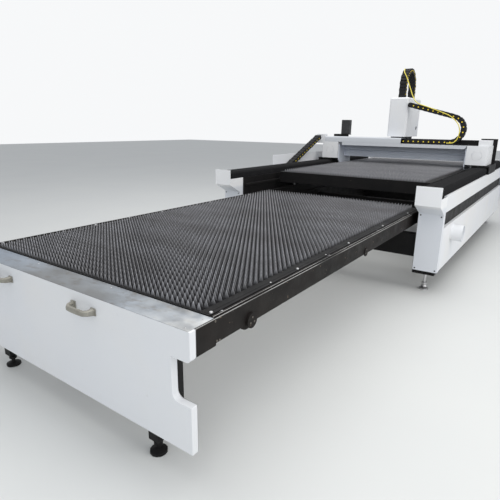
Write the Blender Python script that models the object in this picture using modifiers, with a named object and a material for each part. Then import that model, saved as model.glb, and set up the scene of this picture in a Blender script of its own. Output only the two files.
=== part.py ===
"""Fiber laser cutting machine with an exchange table.

X runs across the machine, Y from the loading end to the back, and Z is up from the floor.
The sizes below count Y from the face of the front panel. The finished machine is then moved
so that its origin is on the floor under its middle. All lengths are in metres.
"""
import math

import bmesh
import bpy

# Clearances and sheet gauges
GAP = 0.0003
OVERRUN = 0.01
SINK = 0.002
WELD_DISTANCE = 0.00001
SHEET = 0.003
THIN_SHEET = 0.002

# Panel at the loading end
PANEL_HALF_WIDTH = 0.892
PANEL_TOP = 0.684
PANEL_BOTTOM = 0.153
PANEL_DEPTH = 0.034
NOTCH_TOP = 0.555
NOTCH_BOTTOM = 0.368
NOTCH_WIDTH = 0.100
NOTCH_RADIUS = 0.030
NOTCH_STEPS = 4
PANEL_CHAMFER = 0.014

# Galvanised plate on the panel
PLATE_DEPTH = 0.144
PLATE_SIDE_MARGIN = 0.008
PLATE_FRONT_MARGIN = 0.001
PLATE_LIP = 0.012

# Bow handles
HANDLE_RIGHT_CENTRE = 0.256
HANDLE_LEFT_CENTRE = -0.440
HANDLE_SPAN = 0.135
HANDLE_LEVEL = 0.618
HANDLE_REACH = 0.045
HANDLE_RADIUS = 0.009
HANDLE_CORNER = 0.024
HANDLE_CORNER_STEPS = 3
HANDLE_FOOT_RADIUS = 0.017
HANDLE_FOOT_THICKNESS = 0.005
HANDLE_SIDES = 16

# Side channels of the table, which carry both pallets
CHANNEL_INSET = 0.003
CHANNEL_HEIGHT = 0.106
CHANNEL_FLANGE = 0.030
CHANNEL_WALL = 0.006
FRONT_DOUBLER_LENGTH = 0.117
FRONT_DOUBLER_DROP = 0.010
FRONT_DOUBLER_PROUD = 0.001
TRACK_WIDTH = 0.016
TRACK_HEIGHT = 0.006
TRACK_INSET = 0.005
TABLE_END = 2.780
IDLER_Y = 0.385
IDLER_DROP = 0.092
IDLER_CAP_RADIUS = 0.035
IDLER_CAP_PROUD = 0.012
IDLER_RADIUS = 0.050
IDLER_THICKNESS = 0.012
IDLER_AXLE_RADIUS = 0.020
IDLER_SIDES = 24

# Welded frame under the loading end
CROSSBAR_DEPTH = 0.060
CROSSBAR_HEIGHT = 0.080
CROSSBAR_DROP = 0.020
LEG_INSET = 0.267
LEG_WIDTH = 0.060
STIFFENER_INSET = 0.120
STIFFENER_WIDTH = 0.040
STIFFENER_DEPTH = 0.030
STIFFENER_CLEARANCE = 0.040
TABLE_FOOT_HEIGHT = 0.070
FOOT_PAD_RADIUS = 0.040
FOOT_PAD_HEIGHT = 0.012
FOOT_STEM_RADIUS = 0.011
FOOT_NUT_RADIUS = 0.021
FOOT_NUT_HEIGHT = 0.014
FOOT_SIDES = 12

# Pallets with saw-toothed slats
PALLET_INSET = 0.036
PALLET_LENGTH = 2.984
PALLET_FRAME_HEIGHT = 0.120
PALLET_SIDE_BAR = 0.020
PALLET_END_BAR = 0.040
PALLET_START_CLEARANCE = 0.006
LOWER_FRAME_TOP = 0.688
UPPER_FRAME_TOP = 0.889
UPPER_PALLET_START = 3.448
SLAT_RISE = 0.030
SLAT_DEPTH = 0.095
SLAT_TOOTH = 0.034
SLAT_THICKNESS = 0.003
SLAT_SPACING = 0.145
SLAT_TEETH = 10
SLAT_SEAT = 0.005
SUPPORT_BAR_CENTRE = 0.290
SUPPORT_BAR_WIDTH = 0.030

# Pallet wheels
WHEEL_OFFSET = 0.400
WHEEL_WIDTH = 0.018
LOWER_WHEEL_RADIUS = 0.030
UPPER_WHEEL_RADIUS = 0.034
WHEEL_CHAMFER = 0.003
WHEEL_SIDES = 16
WHEEL_SIDE_CLEARANCE = 0.005
WHEEL_BORE_CLEARANCE = 0.0006
AXLE_RADIUS = 0.008
HANGER_THICKNESS = 0.005
HANGER_HALF_LENGTH = 0.040
HANGER_RISE = 0.030
HANGER_DROP = 0.020
HANGER_WHEEL_CLEARANCE = 0.0045

# Bed: two side girders with cross beams and inner rails
GIRDER_CLEARANCE = 0.038
GIRDER_WIDTH = 0.188
GIRDER_BOTTOM = 0.160
GIRDER_TOP = 0.800
GIRDER_FRONT = 2.835
GIRDER_BACK = 6.560
CROSS_BEAM_TOP = 0.500
CROSS_BEAM_HEIGHT = 0.200
CROSS_BEAM_WIDTH = 0.090
CROSS_BEAM_MARGIN = 0.025
REAR_PLATE_THICKNESS = 0.006
BED_CHANNEL_END = 6.450
RAIL_BRACKET_HEIGHT = 0.050
RAIL_BRACKET_LENGTH = 0.060
RAIL_BRACKET_COUNT = 5
RAIL_BRACKET_MARGIN = 0.150
GUIDE_BAR_LEVEL = 0.777
GUIDE_BAR_HEIGHT = 0.020
GUIDE_BAR_WIDTH = 0.030
LEDGE_WIDTH = 0.020
LEDGE_INSET = 0.003
BED_FOOT_OFFSET = 0.006
BED_FOOT_END_MARGIN = 0.080

# White covers of the bed
COVER_INSET = 0.016
COVER_PROUD = 0.031
COVER_FRONT = 2.609
COVER_TOP = 0.954
COVER_VISOR_BOTTOM = 0.797
COVER_SLOPE_BOTTOM = 0.710
COVER_COLUMN_FRONT = 2.775
COVER_BOTTOM = 0.207
MACHINE_BACK = 6.620
TRAY_WIDTH = 0.096
BAND_TOP = 0.862
BAND_BOTTOM = 0.725
SIDE_PANEL_TOP = 0.589
SIDE_PANEL_BOTTOM = 0.211

# Duct stub on the right side panel
DUCT_Y = 3.210
DUCT_Z = 0.490
DUCT_RADIUS = 0.075
DUCT_FLANGE = 0.012
DUCT_SIDES = 24

# Bellows over the Y rails
BELLOWS_INNER_CLEARANCE = 0.004
BELLOWS_OUTER_CLEARANCE = 0.024
BELLOWS_TOP = 0.938
BELLOWS_FOLD_PITCH = 0.120
BELLOWS_FOLD_DEPTH = 0.012
BELLOWS_WALL = 0.010

# Y rails
Y_RAIL_OFFSET = 0.0085
Y_RAIL_WIDTH = 0.025
Y_RAIL_HEIGHT = 0.028
Y_RAIL_END_MARGIN = 0.010

# Gantry carriages on the Y rails
CARRIAGE_FRONT = 5.030
CARRIAGE_LENGTH = 0.570
CARRIAGE_INSET = 0.001
CARRIAGE_TOP = 0.9655
CARRIAGE_PLATE = 0.020
CARRIAGE_SKIRT = 0.012
CARRIAGE_BLOCK_HALF_WIDTH = 0.0325
CARRIAGE_RUNNING_CLEARANCE = 0.0035
CARRIAGE_BLOCK_CLEARANCE = 0.0085

# Gantry beam
BEAM_SETBACK = 0.240
BEAM_DEPTH = 0.230
BEAM_BOTTOM = 0.992
BEAM_TOP = 1.166
BEAM_END_INSET = 0.014
BEAM_LIP = 0.020
BEAM_LIP_PROUD = 0.008
BEAM_GROOVE_LEVEL = 1.074
BEAM_GROOVE = 0.012
BEAM_FOOT_INSET = 0.009
BEAM_FOOT_MARGIN = 0.020
END_PLATE_INSET = 0.244
END_PLATE_THICKNESS = 0.012
END_PLATE_REACH = 0.190
END_PLATE_BOTTOM = 0.897
END_PLATE_TOP_MARGIN = 0.006
END_PLATE_CHAMFER = 0.040
X_RAIL_WIDTH = 0.020
X_RAIL_HEIGHT = 0.014
X_RAIL_TOP_OFFSET = 0.060
X_RAIL_REAR_LEVEL = 1.030

# Covers of the gantry
END_BOX_PLATE_CLEARANCE = 0.004
END_BOX_INSET = 0.014
END_BOX_LEAD = 0.020
END_BOX_BACK_INSET = 0.030
END_BOX_SIDE_CLEARANCE = 0.012
SKIRT_TOP = 1.196
SKIRT_BOTTOM = 1.154
SKIRT_LEFT_INSET = 0.062
SKIRT_SLANT = 0.028
SKIRT_OVERLAP = 0.050
VENT_RADIUS = 0.060
VENT_SLOTS = 7
VENT_SLOT_HEIGHT = 0.006
TOP_COVER_INSET = 0.024
TOP_COVER_RIGHT = 0.040
TOP_COVER_TOP = 1.270
TOP_COVER_BACK_CLEARANCE = 0.002
TOP_COVER_ROUND = 0.018
TOP_COVER_ROUND_STEPS = 2
JUNCTION_BOX_WIDTH = 0.135
JUNCTION_BOX_PROUD = 0.016
JUNCTION_BOX_SETBACK = 0.015
JUNCTION_BOX_DEPTH = 0.175
JUNCTION_BOX_TOP = 1.266

# Chain trough on the gantry
TROUGH_LEFT = 0.045
TROUGH_END_CLEARANCE = 0.005
TROUGH_SETBACK = 0.070
TROUGH_DEPTH = 0.105
TROUGH_FRONT_WALL = 0.018
TROUGH_BACK_WALL = 0.066
TROUGH_WALL = 0.0025

# Motor brackets and the left drive motor
BRACKET_WIDTH = 0.195
BRACKET_INSET = 0.008
BRACKET_CLEARANCE = 0.005
BRACKET_THICKNESS = 0.008
BRACKET_TOP_RIGHT = 1.278
BRACKET_TOP_LEFT = 1.300
BRACKET_SHELF = 0.110
MOTOR_SIDE_INSET = 0.110
MOTOR_WIDTH = 0.130
MOTOR_HEIGHT = 0.210
MOTOR_MARGIN = 0.012
MOTOR_BEVEL = 0.004

# Carriage of the cutting head
HEAD_CENTRE = -0.067
HEAD_PLATE_WIDTH = 0.220
HEAD_PLATE_THICKNESS = 0.030
HEAD_PLATE_BOTTOM = 0.998
HEAD_SADDLE_SETBACK = 0.030
HEAD_SADDLE_TOP = 1.284
HEAD_MAST_TOP = 1.700
HEAD_MAST_THICKNESS = 0.020

# White cover of the cutting head
HEAD_COVER_WIDTH = 0.250
HEAD_COVER_LEAD = 0.100
HEAD_COVER_DEPTH = 0.595
HEAD_COVER_BOTTOM = 1.285
HEAD_COVER_TOP = 1.795
HEAD_COVER_BEVEL = 0.016
CHAIN_BRACKET_LENGTH = 0.040
CHAIN_BRACKET_HEIGHT = 0.070
CHAIN_BRACKET_DROP = 0.060
CHAIN_BRACKET_SLOPE = 0.020

# Z slide and cutting head
Z_SLIDE_WIDTH = 0.120
Z_SLIDE_THICKNESS = 0.018
Z_SLIDE_BOTTOM = 1.080
Z_SLIDE_TOP = 1.695
CUTTER_RADIUS = 0.042
CUTTER_TOP = 1.360
CUTTER_SHOULDER = 1.130
CUTTER_NECK_RADIUS = 0.026
CUTTER_NECK_BOTTOM = 1.030
NOZZLE_TIP = 0.985
NOZZLE_RADIUS = 0.014
NOZZLE_TIP_RADIUS = 0.004
CUTTER_SIDES = 20

# Drag chains
CHAIN_HEIGHT = 0.060
CHAIN_NOTCH = 0.006
CHAIN_PITCH = 0.050
CHAIN_WIDTH = 0.080
X_CHAIN_SETBACK = 0.052
X_CHAIN_FIXED_END = 0.050
X_CHAIN_BEND_CENTRE = 0.620
X_CHAIN_BEND_RADIUS = 0.160
X_CHAIN_HEAD_LEVEL = 1.700
X_CHAIN_END_CLEARANCE = 0.014
Z_CHAIN_WIDTH = 0.090
Z_CHAIN_SETBACK = 0.115
Z_CHAIN_BEND_RADIUS = 0.202
Z_CHAIN_RISE = 0.395
Y_CHAIN_END_LEAD = 0.030
Y_CHAIN_BEND_CENTRE = 4.280
Y_CHAIN_BEND_RADIUS = 0.100
Y_CHAIN_RUN_LEVEL = 0.700
Y_CHAIN_GANTRY_LEVEL = 1.262
BEND_STEPS = 12
SLOT_CLEARANCE = 0.005

# Left chain tray and its bracket on the gantry
TRAY_BACK = 5.600
TRAY_FRONT = 3.900
TRAY_TOP = 1.040
ARM_SETBACK = 0.090
ARM_WIDTH = 0.080
ARM_INSET = 0.005
ARM_BOTTOM = 1.170
ARM_TOP = 1.300

# Yellow fibre hose along the chains
HOSE_RADIUS = 0.006
HOSE_POINTS_PER_STRETCH = 4
HOSE_ROUTE = [(-0.100, 5.380, 2.172), (-0.078, 5.306, 2.138), (-0.052, 5.243, 2.105), (-0.017, 5.230, 2.051),
              (0.043, 5.215, 1.922), (0.105, 5.185, 1.800), (0.184, 5.1355, 1.717), (0.329, 5.1355, 1.663),
              (0.478, 5.1355, 1.608), (0.610, 5.1355, 1.549), (0.703, 5.1355, 1.465), (0.737, 5.1355, 1.374),
              (0.722, 5.1355, 1.276), (0.685, 5.1355, 1.231), (0.640, 5.1355, 1.2214), (0.600, 5.1355, 1.2208)]

# Pallet drive at the back of the bed
DRIVE_Y = 6.520
DRIVE_Z = 0.620
DRIVE_SHAFT_RADIUS = 0.0125
SPROCKET_RADIUS = 0.048
SPROCKET_THICKNESS = 0.010
SPROCKET_INSET = 0.092
SPROCKET_HUB_RADIUS = 0.024
SPROCKET_HUB_LENGTH = 0.030
DRIVE_SIDES = 20
GEARBOX_LEFT = 0.300
GEARBOX_WIDTH = 0.120
GEARBOX_DEPTH = 0.100
GEARBOX_TOP = 0.680
DRIVE_MOTOR_RADIUS = 0.045
DRIVE_MOTOR_HEIGHT = 0.180

# Places across the machine, worked out from the sizes above
PALLET_HALF_WIDTH = PANEL_HALF_WIDTH - PALLET_INSET
LEG_CENTRE = PANEL_HALF_WIDTH - LEG_INSET
STIFFENER_CENTRE = PANEL_HALF_WIDTH - STIFFENER_INSET
SPROCKET_CENTRE = PANEL_HALF_WIDTH - SPROCKET_INSET
GIRDER_INNER = PANEL_HALF_WIDTH + GIRDER_CLEARANCE
GIRDER_OUTER = GIRDER_INNER + GIRDER_WIDTH
BED_FOOT_X = (GIRDER_INNER + GIRDER_OUTER) / 2 + BED_FOOT_OFFSET
Y_RAIL_CENTRE = (GIRDER_INNER + GIRDER_OUTER) / 2 + Y_RAIL_OFFSET
COVER_INNER = GIRDER_INNER + COVER_INSET
COVER_OUTER = GIRDER_OUTER + COVER_PROUD
SIDE_REACH = COVER_OUTER + TRAY_WIDTH
Y_CHAIN_CENTRE = -COVER_OUTER - TRAY_WIDTH / 2
ARM_OUTER = SIDE_REACH - ARM_INSET
BELLOWS_INNER = COVER_INNER + BELLOWS_INNER_CLEARANCE
BELLOWS_OUTER = COVER_OUTER - BELLOWS_OUTER_CLEARANCE
CARRIAGE_OUTER = COVER_OUTER - CARRIAGE_INSET
END_BOX_OUTER = GIRDER_OUTER - END_BOX_INSET
BEAM_HALF_LENGTH = END_BOX_OUTER - BEAM_END_INSET
BEAM_FOOT_INNER = COVER_INNER + BEAM_FOOT_INSET
END_PLATE_INNER = BEAM_HALF_LENGTH - END_PLATE_INSET
SKIRT_RIGHT = END_PLATE_INNER + END_PLATE_THICKNESS
END_BOX_INNER = SKIRT_RIGHT + END_BOX_PLATE_CLEARANCE
SKIRT_LEFT = SKIRT_LEFT_INSET - END_BOX_INNER
TOP_COVER_LEFT = TOP_COVER_INSET - END_BOX_OUTER
JUNCTION_BOX_RIGHT = END_BOX_OUTER + JUNCTION_BOX_PROUD
JUNCTION_BOX_LEFT = JUNCTION_BOX_RIGHT - JUNCTION_BOX_WIDTH
TROUGH_RIGHT = JUNCTION_BOX_LEFT - TROUGH_END_CLEARANCE
BRACKET_OUTER = CARRIAGE_OUTER - BRACKET_INSET
BRACKET_INNER = BRACKET_OUTER - BRACKET_WIDTH
MOTOR_LEFT = MOTOR_SIDE_INSET - BRACKET_OUTER
MOTOR_RIGHT = MOTOR_LEFT + MOTOR_WIDTH

# Places along the gantry's depth
CARRIAGE_BACK = CARRIAGE_FRONT + CARRIAGE_LENGTH
BEAM_FRONT = CARRIAGE_FRONT + BEAM_SETBACK
BEAM_BACK = BEAM_FRONT + BEAM_DEPTH
END_PLATE_FRONT = BEAM_FRONT - END_PLATE_REACH
END_BOX_FRONT = END_PLATE_FRONT - END_BOX_LEAD
END_BOX_BACK = BEAM_BACK - END_BOX_BACK_INSET
END_BOX_SIDE_END = BEAM_FRONT - END_BOX_SIDE_CLEARANCE
SKIRT_BACK = BEAM_FRONT + SKIRT_OVERLAP
TOP_COVER_BACK = BEAM_FRONT - TOP_COVER_BACK_CLEARANCE
JUNCTION_BOX_FRONT = END_BOX_FRONT + JUNCTION_BOX_SETBACK
JUNCTION_BOX_BACK = JUNCTION_BOX_FRONT + JUNCTION_BOX_DEPTH
TROUGH_FRONT = END_BOX_FRONT + TROUGH_SETBACK
TROUGH_BACK = TROUGH_FRONT + TROUGH_DEPTH
BRACKET_FRONT = BEAM_BACK + BRACKET_CLEARANCE
HEAD_SADDLE_FRONT = BEAM_FRONT + HEAD_SADDLE_SETBACK
HEAD_COVER_FRONT = BEAM_FRONT - HEAD_COVER_LEAD
HEAD_COVER_BACK = HEAD_COVER_FRONT + HEAD_COVER_DEPTH
X_CHAIN_CENTRE = TROUGH_FRONT + X_CHAIN_SETBACK
Z_CHAIN_FRONT = HEAD_COVER_FRONT + Z_CHAIN_SETBACK
Y_CHAIN_FIXED_END = CARRIAGE_FRONT - Y_CHAIN_END_LEAD
ARM_FRONT = CARRIAGE_FRONT + ARM_SETBACK
ARM_BACK = ARM_FRONT + ARM_WIDTH

# Other places worked out from the sizes above
MACHINE_MIDDLE = (MACHINE_BACK - HANDLE_REACH - HANDLE_RADIUS) / 2
CHANNEL_OUTER = PANEL_HALF_WIDTH - CHANNEL_INSET
CHANNEL_TOP = PANEL_TOP
CHANNEL_BOTTOM = CHANNEL_TOP - CHANNEL_HEIGHT
TRACK_OUTER = CHANNEL_OUTER - TRACK_INSET
TRACK_TOP = CHANNEL_TOP + TRACK_HEIGHT
IDLER_Z = CHANNEL_TOP - IDLER_DROP
LOWER_PALLET_START = PLATE_DEPTH + PALLET_START_CLEARANCE
LOWER_AXLE_Z = CHANNEL_BOTTOM + CHANNEL_WALL + GAP + LOWER_WHEEL_RADIUS
UPPER_AXLE_Z = TRACK_TOP + GAP + UPPER_WHEEL_RADIUS
X_CHAIN_RUN_LEVEL = SKIRT_TOP + GAP + TROUGH_WALL + GAP + CHAIN_HEIGHT / 2
HEAD_LEFT = HEAD_CENTRE - HEAD_COVER_WIDTH / 2
HEAD_RIGHT = HEAD_CENTRE + HEAD_COVER_WIDTH / 2
HEAD_PLATE_FRONT = BEAM_BACK + X_RAIL_HEIGHT + GAP
HEAD_PLATE_BACK = HEAD_PLATE_FRONT + HEAD_PLATE_THICKNESS
Z_SLIDE_BACK = HEAD_PLATE_BACK + GAP + Z_SLIDE_THICKNESS
CUTTER_Y = Z_SLIDE_BACK + GAP + CUTTER_RADIUS
Z_CHAIN_BACK = Z_CHAIN_FRONT + 2 * Z_CHAIN_BEND_RADIUS
Z_CHAIN_TOP = HEAD_COVER_TOP + Z_CHAIN_RISE

RIGHT_ANGLE = math.pi / 2


def new_collection(name):
    collection = bpy.data.collections.new(name)
    bpy.context.scene.collection.children.link(collection)
    return collection


def new_material(name, colour, roughness, metallic):
    material = bpy.data.materials.new(name)
    material.use_nodes = True
    shader = material.node_tree.nodes["Principled BSDF"]
    shader.inputs["Base Color"].default_value = (*colour, 1)
    shader.inputs["Roughness"].default_value = roughness
    shader.inputs["Metallic"].default_value = metallic
    return material


def put_in(collection, obj):
    for owner in list(obj.users_collection):
        owner.objects.unlink(obj)
    collection.objects.link(obj)


def piece(obj, name, material):
    """Turn a finished shape into a named part of the machine."""
    obj.name = name
    obj.data.materials.clear()
    obj.data.materials.append(material)
    put_in(PARTS, obj)
    return obj


def helper(obj):
    """Keep a shape that only cuts or joins another one."""
    put_in(CUTTERS, obj)
    obj.hide_render = True
    obj.display_type = "WIRE"
    return obj


def box(x_range, y_range, z_range):
    """Upright block between the given limits, with its origin at its centre."""
    bpy.ops.mesh.primitive_cube_add(size=1)
    block = bpy.context.object
    limits = (x_range, y_range, z_range)
    size = [max(limit) - min(limit) for limit in limits]
    for vertex in block.data.vertices:
        for axis in range(3):
            vertex.co[axis] *= size[axis]
    block.location = [sum(limit) / 2 for limit in limits]
    return block


def rod(centre, axis, length, radius, sides):
    """Cylinder along X, Y or Z about the given centre."""
    turn = {"X": (0, RIGHT_ANGLE, 0), "Y": (RIGHT_ANGLE, 0, 0), "Z": (0, 0, 0)}[axis]
    bpy.ops.mesh.primitive_cylinder_add(vertices=sides, radius=radius, depth=length,
                                        location=centre, rotation=turn)
    return bpy.context.object


def solid_from_curve(curve):
    """Evaluate a curve object into a welded mesh object at the same place."""
    bpy.context.view_layer.update()
    evaluated = curve.evaluated_get(bpy.context.evaluated_depsgraph_get())
    mesh = bpy.data.meshes.new_from_object(evaluated)
    work = bmesh.new()
    work.from_mesh(mesh)
    bmesh.ops.remove_doubles(work, verts=work.verts, dist=WELD_DISTANCE)
    bmesh.ops.recalc_face_normals(work, faces=work.faces)
    work.to_mesh(mesh)
    work.free()
    solid = bpy.data.objects.new(curve.name, mesh)
    bpy.context.scene.collection.objects.link(solid)
    solid.matrix_world = curve.matrix_world
    bpy.data.objects.remove(curve)
    return solid


def extrusion(outlines, limits, axis):
    """Flat outlines pulled out along X, Y or Z between two limits.

    Along X the outline is drawn in (Y, Z), along Y in (X, Z) and along Z in (X, Y).
    A second outline inside the first is a hole.
    """
    data = bpy.data.curves.new("outline", "CURVE")
    data.dimensions = "2D"
    data.fill_mode = "BOTH"
    data.extrude = (max(limits) - min(limits)) / 2
    for outline in outlines:
        spline = data.splines.new("POLY")
        spline.points.add(len(outline) - 1)
        for point, (u, v) in zip(spline.points, outline):
            point.co = (u, v, 0, 1)
        spline.use_cyclic_u = True
    curve = bpy.data.objects.new("outline", data)
    bpy.context.scene.collection.objects.link(curve)
    middle = sum(limits) / 2
    curve.rotation_euler = {"X": (RIGHT_ANGLE, 0, RIGHT_ANGLE), "Y": (RIGHT_ANGLE, 0, 0), "Z": (0, 0, 0)}[axis]
    curve.location = {"X": (middle, 0, 0), "Y": (0, middle, 0), "Z": (0, 0, middle)}[axis]
    return solid_from_curve(curve)


def turned(profile, sides, location, rotation, ring=False):
    """Turn a (radius, height) profile about the local Z axis; a ring closes on itself."""
    mesh = bpy.data.meshes.new("turned")
    edges = [(i, i + 1) for i in range(len(profile) - 1)]
    if ring:
        edges.append((len(profile) - 1, 0))
    mesh.from_pydata([(radius, 0, height) for radius, height in profile], edges, [])
    shape = bpy.data.objects.new("turned", mesh)
    bpy.context.scene.collection.objects.link(shape)
    screw = shape.modifiers.new("Screw", "SCREW")
    screw.steps = sides
    screw.render_steps = sides
    screw.use_merge_vertices = True
    screw.merge_threshold = WELD_DISTANCE
    screw.use_smooth_shade = False
    shape.location = location
    shape.rotation_euler = rotation
    return shape


def attach(member, carrier):
    """Parent the member to its carrier without moving it."""
    member.parent = carrier
    member.matrix_parent_inverse = carrier.matrix_basis.inverted()


def boolean(target, other, operation):
    modifier = target.modifiers.new(operation.title(), "BOOLEAN")
    modifier.operation = operation
    modifier.object = helper(other)
    attach(other, target)
    return target


def fuse(target, others):
    for other in others:
        boolean(target, other, "UNION")
    return target


def cut(target, others):
    for other in others:
        boolean(target, other, "DIFFERENCE")
    return target


def side_range(side, inner, outer):
    """X limits of something on the right (1) or left (-1) of the machine."""
    return sorted((side * inner, side * outer))


def arc(centre, radius, start, end, steps):
    """Points along an arc from one angle to another."""
    return [(centre[0] + radius * math.cos(start + (end - start) * i / steps),
             centre[1] + radius * math.sin(start + (end - start) * i / steps)) for i in range(steps + 1)]


def inset(outline, distance):
    """Shift every edge of a counter-clockwise outline inwards."""
    result = []
    count = len(outline)
    for i in range(count):
        before, here, after = outline[i - 1], outline[i], outline[(i + 1) % count]
        first = (here[0] - before[0], here[1] - before[1])
        second = (after[0] - here[0], after[1] - here[1])
        first_length, second_length = math.hypot(*first), math.hypot(*second)
        n1 = (-first[1] / first_length, first[0] / first_length)
        n2 = (-second[1] / second_length, second[0] / second_length)
        scale = distance / (1 + n1[0] * n2[0] + n1[1] * n2[1])
        result.append((here[0] + (n1[0] + n2[0]) * scale, here[1] + (n1[1] + n2[1]) * scale))
    return result


def group(name, location, members):
    """Parent the members to an empty at the place that their joint works from."""
    empty = bpy.data.objects.new(name, None)
    empty.location = location
    PARTS.objects.link(empty)
    for member in members:
        attach(member, empty)
    return empty


def notched_block(margin, y_range):
    """Block in the panel's outline, set in by a margin, with a rounded notch cut from each end."""
    half = PANEL_HALF_WIDTH - margin
    block = box((-half, half), y_range, (PANEL_BOTTOM + margin, PANEL_TOP - margin))
    notch_x = PANEL_HALF_WIDTH - NOTCH_WIDTH - margin
    low, high = NOTCH_BOTTOM - margin, NOTCH_TOP + margin
    radius = NOTCH_RADIUS + margin
    right = PANEL_HALF_WIDTH + OVERRUN
    outline = arc((notch_x + radius, low + radius), radius, 3 * RIGHT_ANGLE, 2 * RIGHT_ANGLE, NOTCH_STEPS)
    outline += [(notch_x, high), (half - PANEL_CHAMFER, high), (half, high + PANEL_CHAMFER),
                (right, high + PANEL_CHAMFER), (right, low)]
    limits = (y_range[0] - OVERRUN, y_range[1] + OVERRUN)
    notches = [extrusion([[(side * x, z) for x, z in outline]], limits, "Y") for side in (-1, 1)]
    return cut(block, notches)


def front_panel():
    """Folded sheet panel with a notch in each end, open at the back."""
    panel = notched_block(0, (0, PANEL_DEPTH))
    hollow = notched_block(SHEET, (SHEET, PANEL_DEPTH + OVERRUN))
    return piece(cut(panel, [hollow]), "front_panel", WHITE_PAINT)


def front_plate():
    """Galvanised plate that closes the gap between the panel and the slats, with a folded rear lip."""
    bottom = PANEL_TOP + GAP
    top = bottom + THIN_SHEET
    rear = PLATE_DEPTH
    half_width = PANEL_HALF_WIDTH - PLATE_SIDE_MARGIN
    inner = CHANNEL_OUTER - CHANNEL_FLANGE - PLATE_SIDE_MARGIN
    plate = box((-half_width, half_width), (PLATE_FRONT_MARGIN, rear), (bottom, top))
    lip = box((-inner, inner), (rear - THIN_SHEET, rear - GAP), (bottom - PLATE_LIP, top - THIN_SHEET / 2))
    return piece(fuse(plate, [lip]), "front_plate", GALVANISED)


def handle(centre):
    """Bow handle: a bent bar on two round feet."""
    left, right = centre - HANDLE_SPAN / 2, centre + HANDLE_SPAN / 2
    bend_y = HANDLE_CORNER - HANDLE_REACH
    route = [(left, -GAP - HANDLE_FOOT_THICKNESS / 2)]
    route += arc((left + HANDLE_CORNER, bend_y), HANDLE_CORNER, 2 * RIGHT_ANGLE, 3 * RIGHT_ANGLE,
                 HANDLE_CORNER_STEPS)
    route += arc((right - HANDLE_CORNER, bend_y), HANDLE_CORNER, -RIGHT_ANGLE, 0, HANDLE_CORNER_STEPS)
    route += [(right, -GAP - HANDLE_FOOT_THICKNESS / 2)]
    bar = tube([(x, y, HANDLE_LEVEL) for x, y in route], HANDLE_RADIUS)
    bar = solid_from_curve(bar)
    feet = [rod((x, -GAP - HANDLE_FOOT_THICKNESS / 2, HANDLE_LEVEL), "Y", HANDLE_FOOT_THICKNESS,
                HANDLE_FOOT_RADIUS, HANDLE_SIDES) for x in (left, right)]
    return fuse(bar, feet)


def tube(points, radius):
    """Round bar or hose along a list of points."""
    data = bpy.data.curves.new("tube", "CURVE")
    data.dimensions = "3D"
    data.bevel_depth = radius
    data.bevel_resolution = 2
    data.use_fill_caps = True
    spline = data.splines.new("POLY")
    spline.points.add(len(points) - 1)
    for point, place in zip(spline.points, points):
        point.co = (*place, 1)
    curve = bpy.data.objects.new("tube", data)
    bpy.context.scene.collection.objects.link(curve)
    return curve


def channel(side, y_range):
    """Channel section that opens towards the middle of the machine."""
    outer, web = CHANNEL_OUTER, CHANNEL_OUTER - CHANNEL_WALL
    tip = CHANNEL_OUTER - CHANNEL_FLANGE
    low, high = CHANNEL_BOTTOM + CHANNEL_WALL, CHANNEL_TOP - CHANNEL_WALL
    outline = [(tip, CHANNEL_BOTTOM), (outer, CHANNEL_BOTTOM), (outer, CHANNEL_TOP), (tip, CHANNEL_TOP),
               (tip, high), (web, high), (web, low), (tip, low)]
    return extrusion([[(side * x, z) for x, z in outline]], y_range, "Y")


def track(side, y_range):
    """Flat bar on the channel, which the upper pallet's wheels roll on."""
    return box(side_range(side, TRACK_OUTER - TRACK_WIDTH, TRACK_OUTER),
               (y_range[0] + OVERRUN, y_range[1] - OVERRUN), (CHANNEL_TOP - SINK, TRACK_TOP))


def table_beam(side):
    start = PANEL_DEPTH + GAP
    doubler_end = start + FRONT_DOUBLER_LENGTH
    beam = channel(side, (start, TABLE_END))
    doubler = box(side_range(side, CHANNEL_OUTER - CHANNEL_WALL / 2, CHANNEL_OUTER + FRONT_DOUBLER_PROUD),
                  (start + SINK, doubler_end),
                  (CHANNEL_BOTTOM - FRONT_DOUBLER_DROP, CHANNEL_TOP - SINK))
    idler_x = side * (CHANNEL_OUTER - CHANNEL_FLANGE + IDLER_THICKNESS / 2)
    idler = rod((idler_x, IDLER_Y, IDLER_Z), "X", IDLER_THICKNESS, IDLER_RADIUS, IDLER_SIDES)
    axle_reach = CHANNEL_FLANGE - IDLER_THICKNESS / 2
    axle = rod((idler_x + side * axle_reach / 2, IDLER_Y, IDLER_Z), "X", axle_reach - SINK,
               IDLER_AXLE_RADIUS, IDLER_SIDES)
    cap_x = side * (CHANNEL_OUTER + IDLER_CAP_PROUD / 2 - SINK / 2)
    cap = rod((cap_x, IDLER_Y, IDLER_Z), "X", IDLER_CAP_PROUD + SINK, IDLER_CAP_RADIUS, IDLER_SIDES)
    bar = track(side, (LOWER_PALLET_START - OVERRUN, TABLE_END))
    return fuse(beam, [bar, doubler, idler, axle, cap])


def foot(location, height):
    """Levelling foot: round pad, threaded stem and lock nut, turned in one profile."""
    nut_top = height - FOOT_NUT_HEIGHT
    profile = [(0, height), (FOOT_STEM_RADIUS, height), (FOOT_STEM_RADIUS, nut_top),
               (FOOT_NUT_RADIUS, nut_top), (FOOT_NUT_RADIUS, nut_top - FOOT_NUT_HEIGHT),
               (FOOT_STEM_RADIUS, nut_top - FOOT_NUT_HEIGHT), (FOOT_STEM_RADIUS, 2 * FOOT_PAD_HEIGHT),
               (FOOT_PAD_RADIUS, FOOT_PAD_HEIGHT), (FOOT_PAD_RADIUS, 0), (0, 0)]
    return turned(profile, FOOT_SIDES, location, (0, 0, 0))


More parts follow.
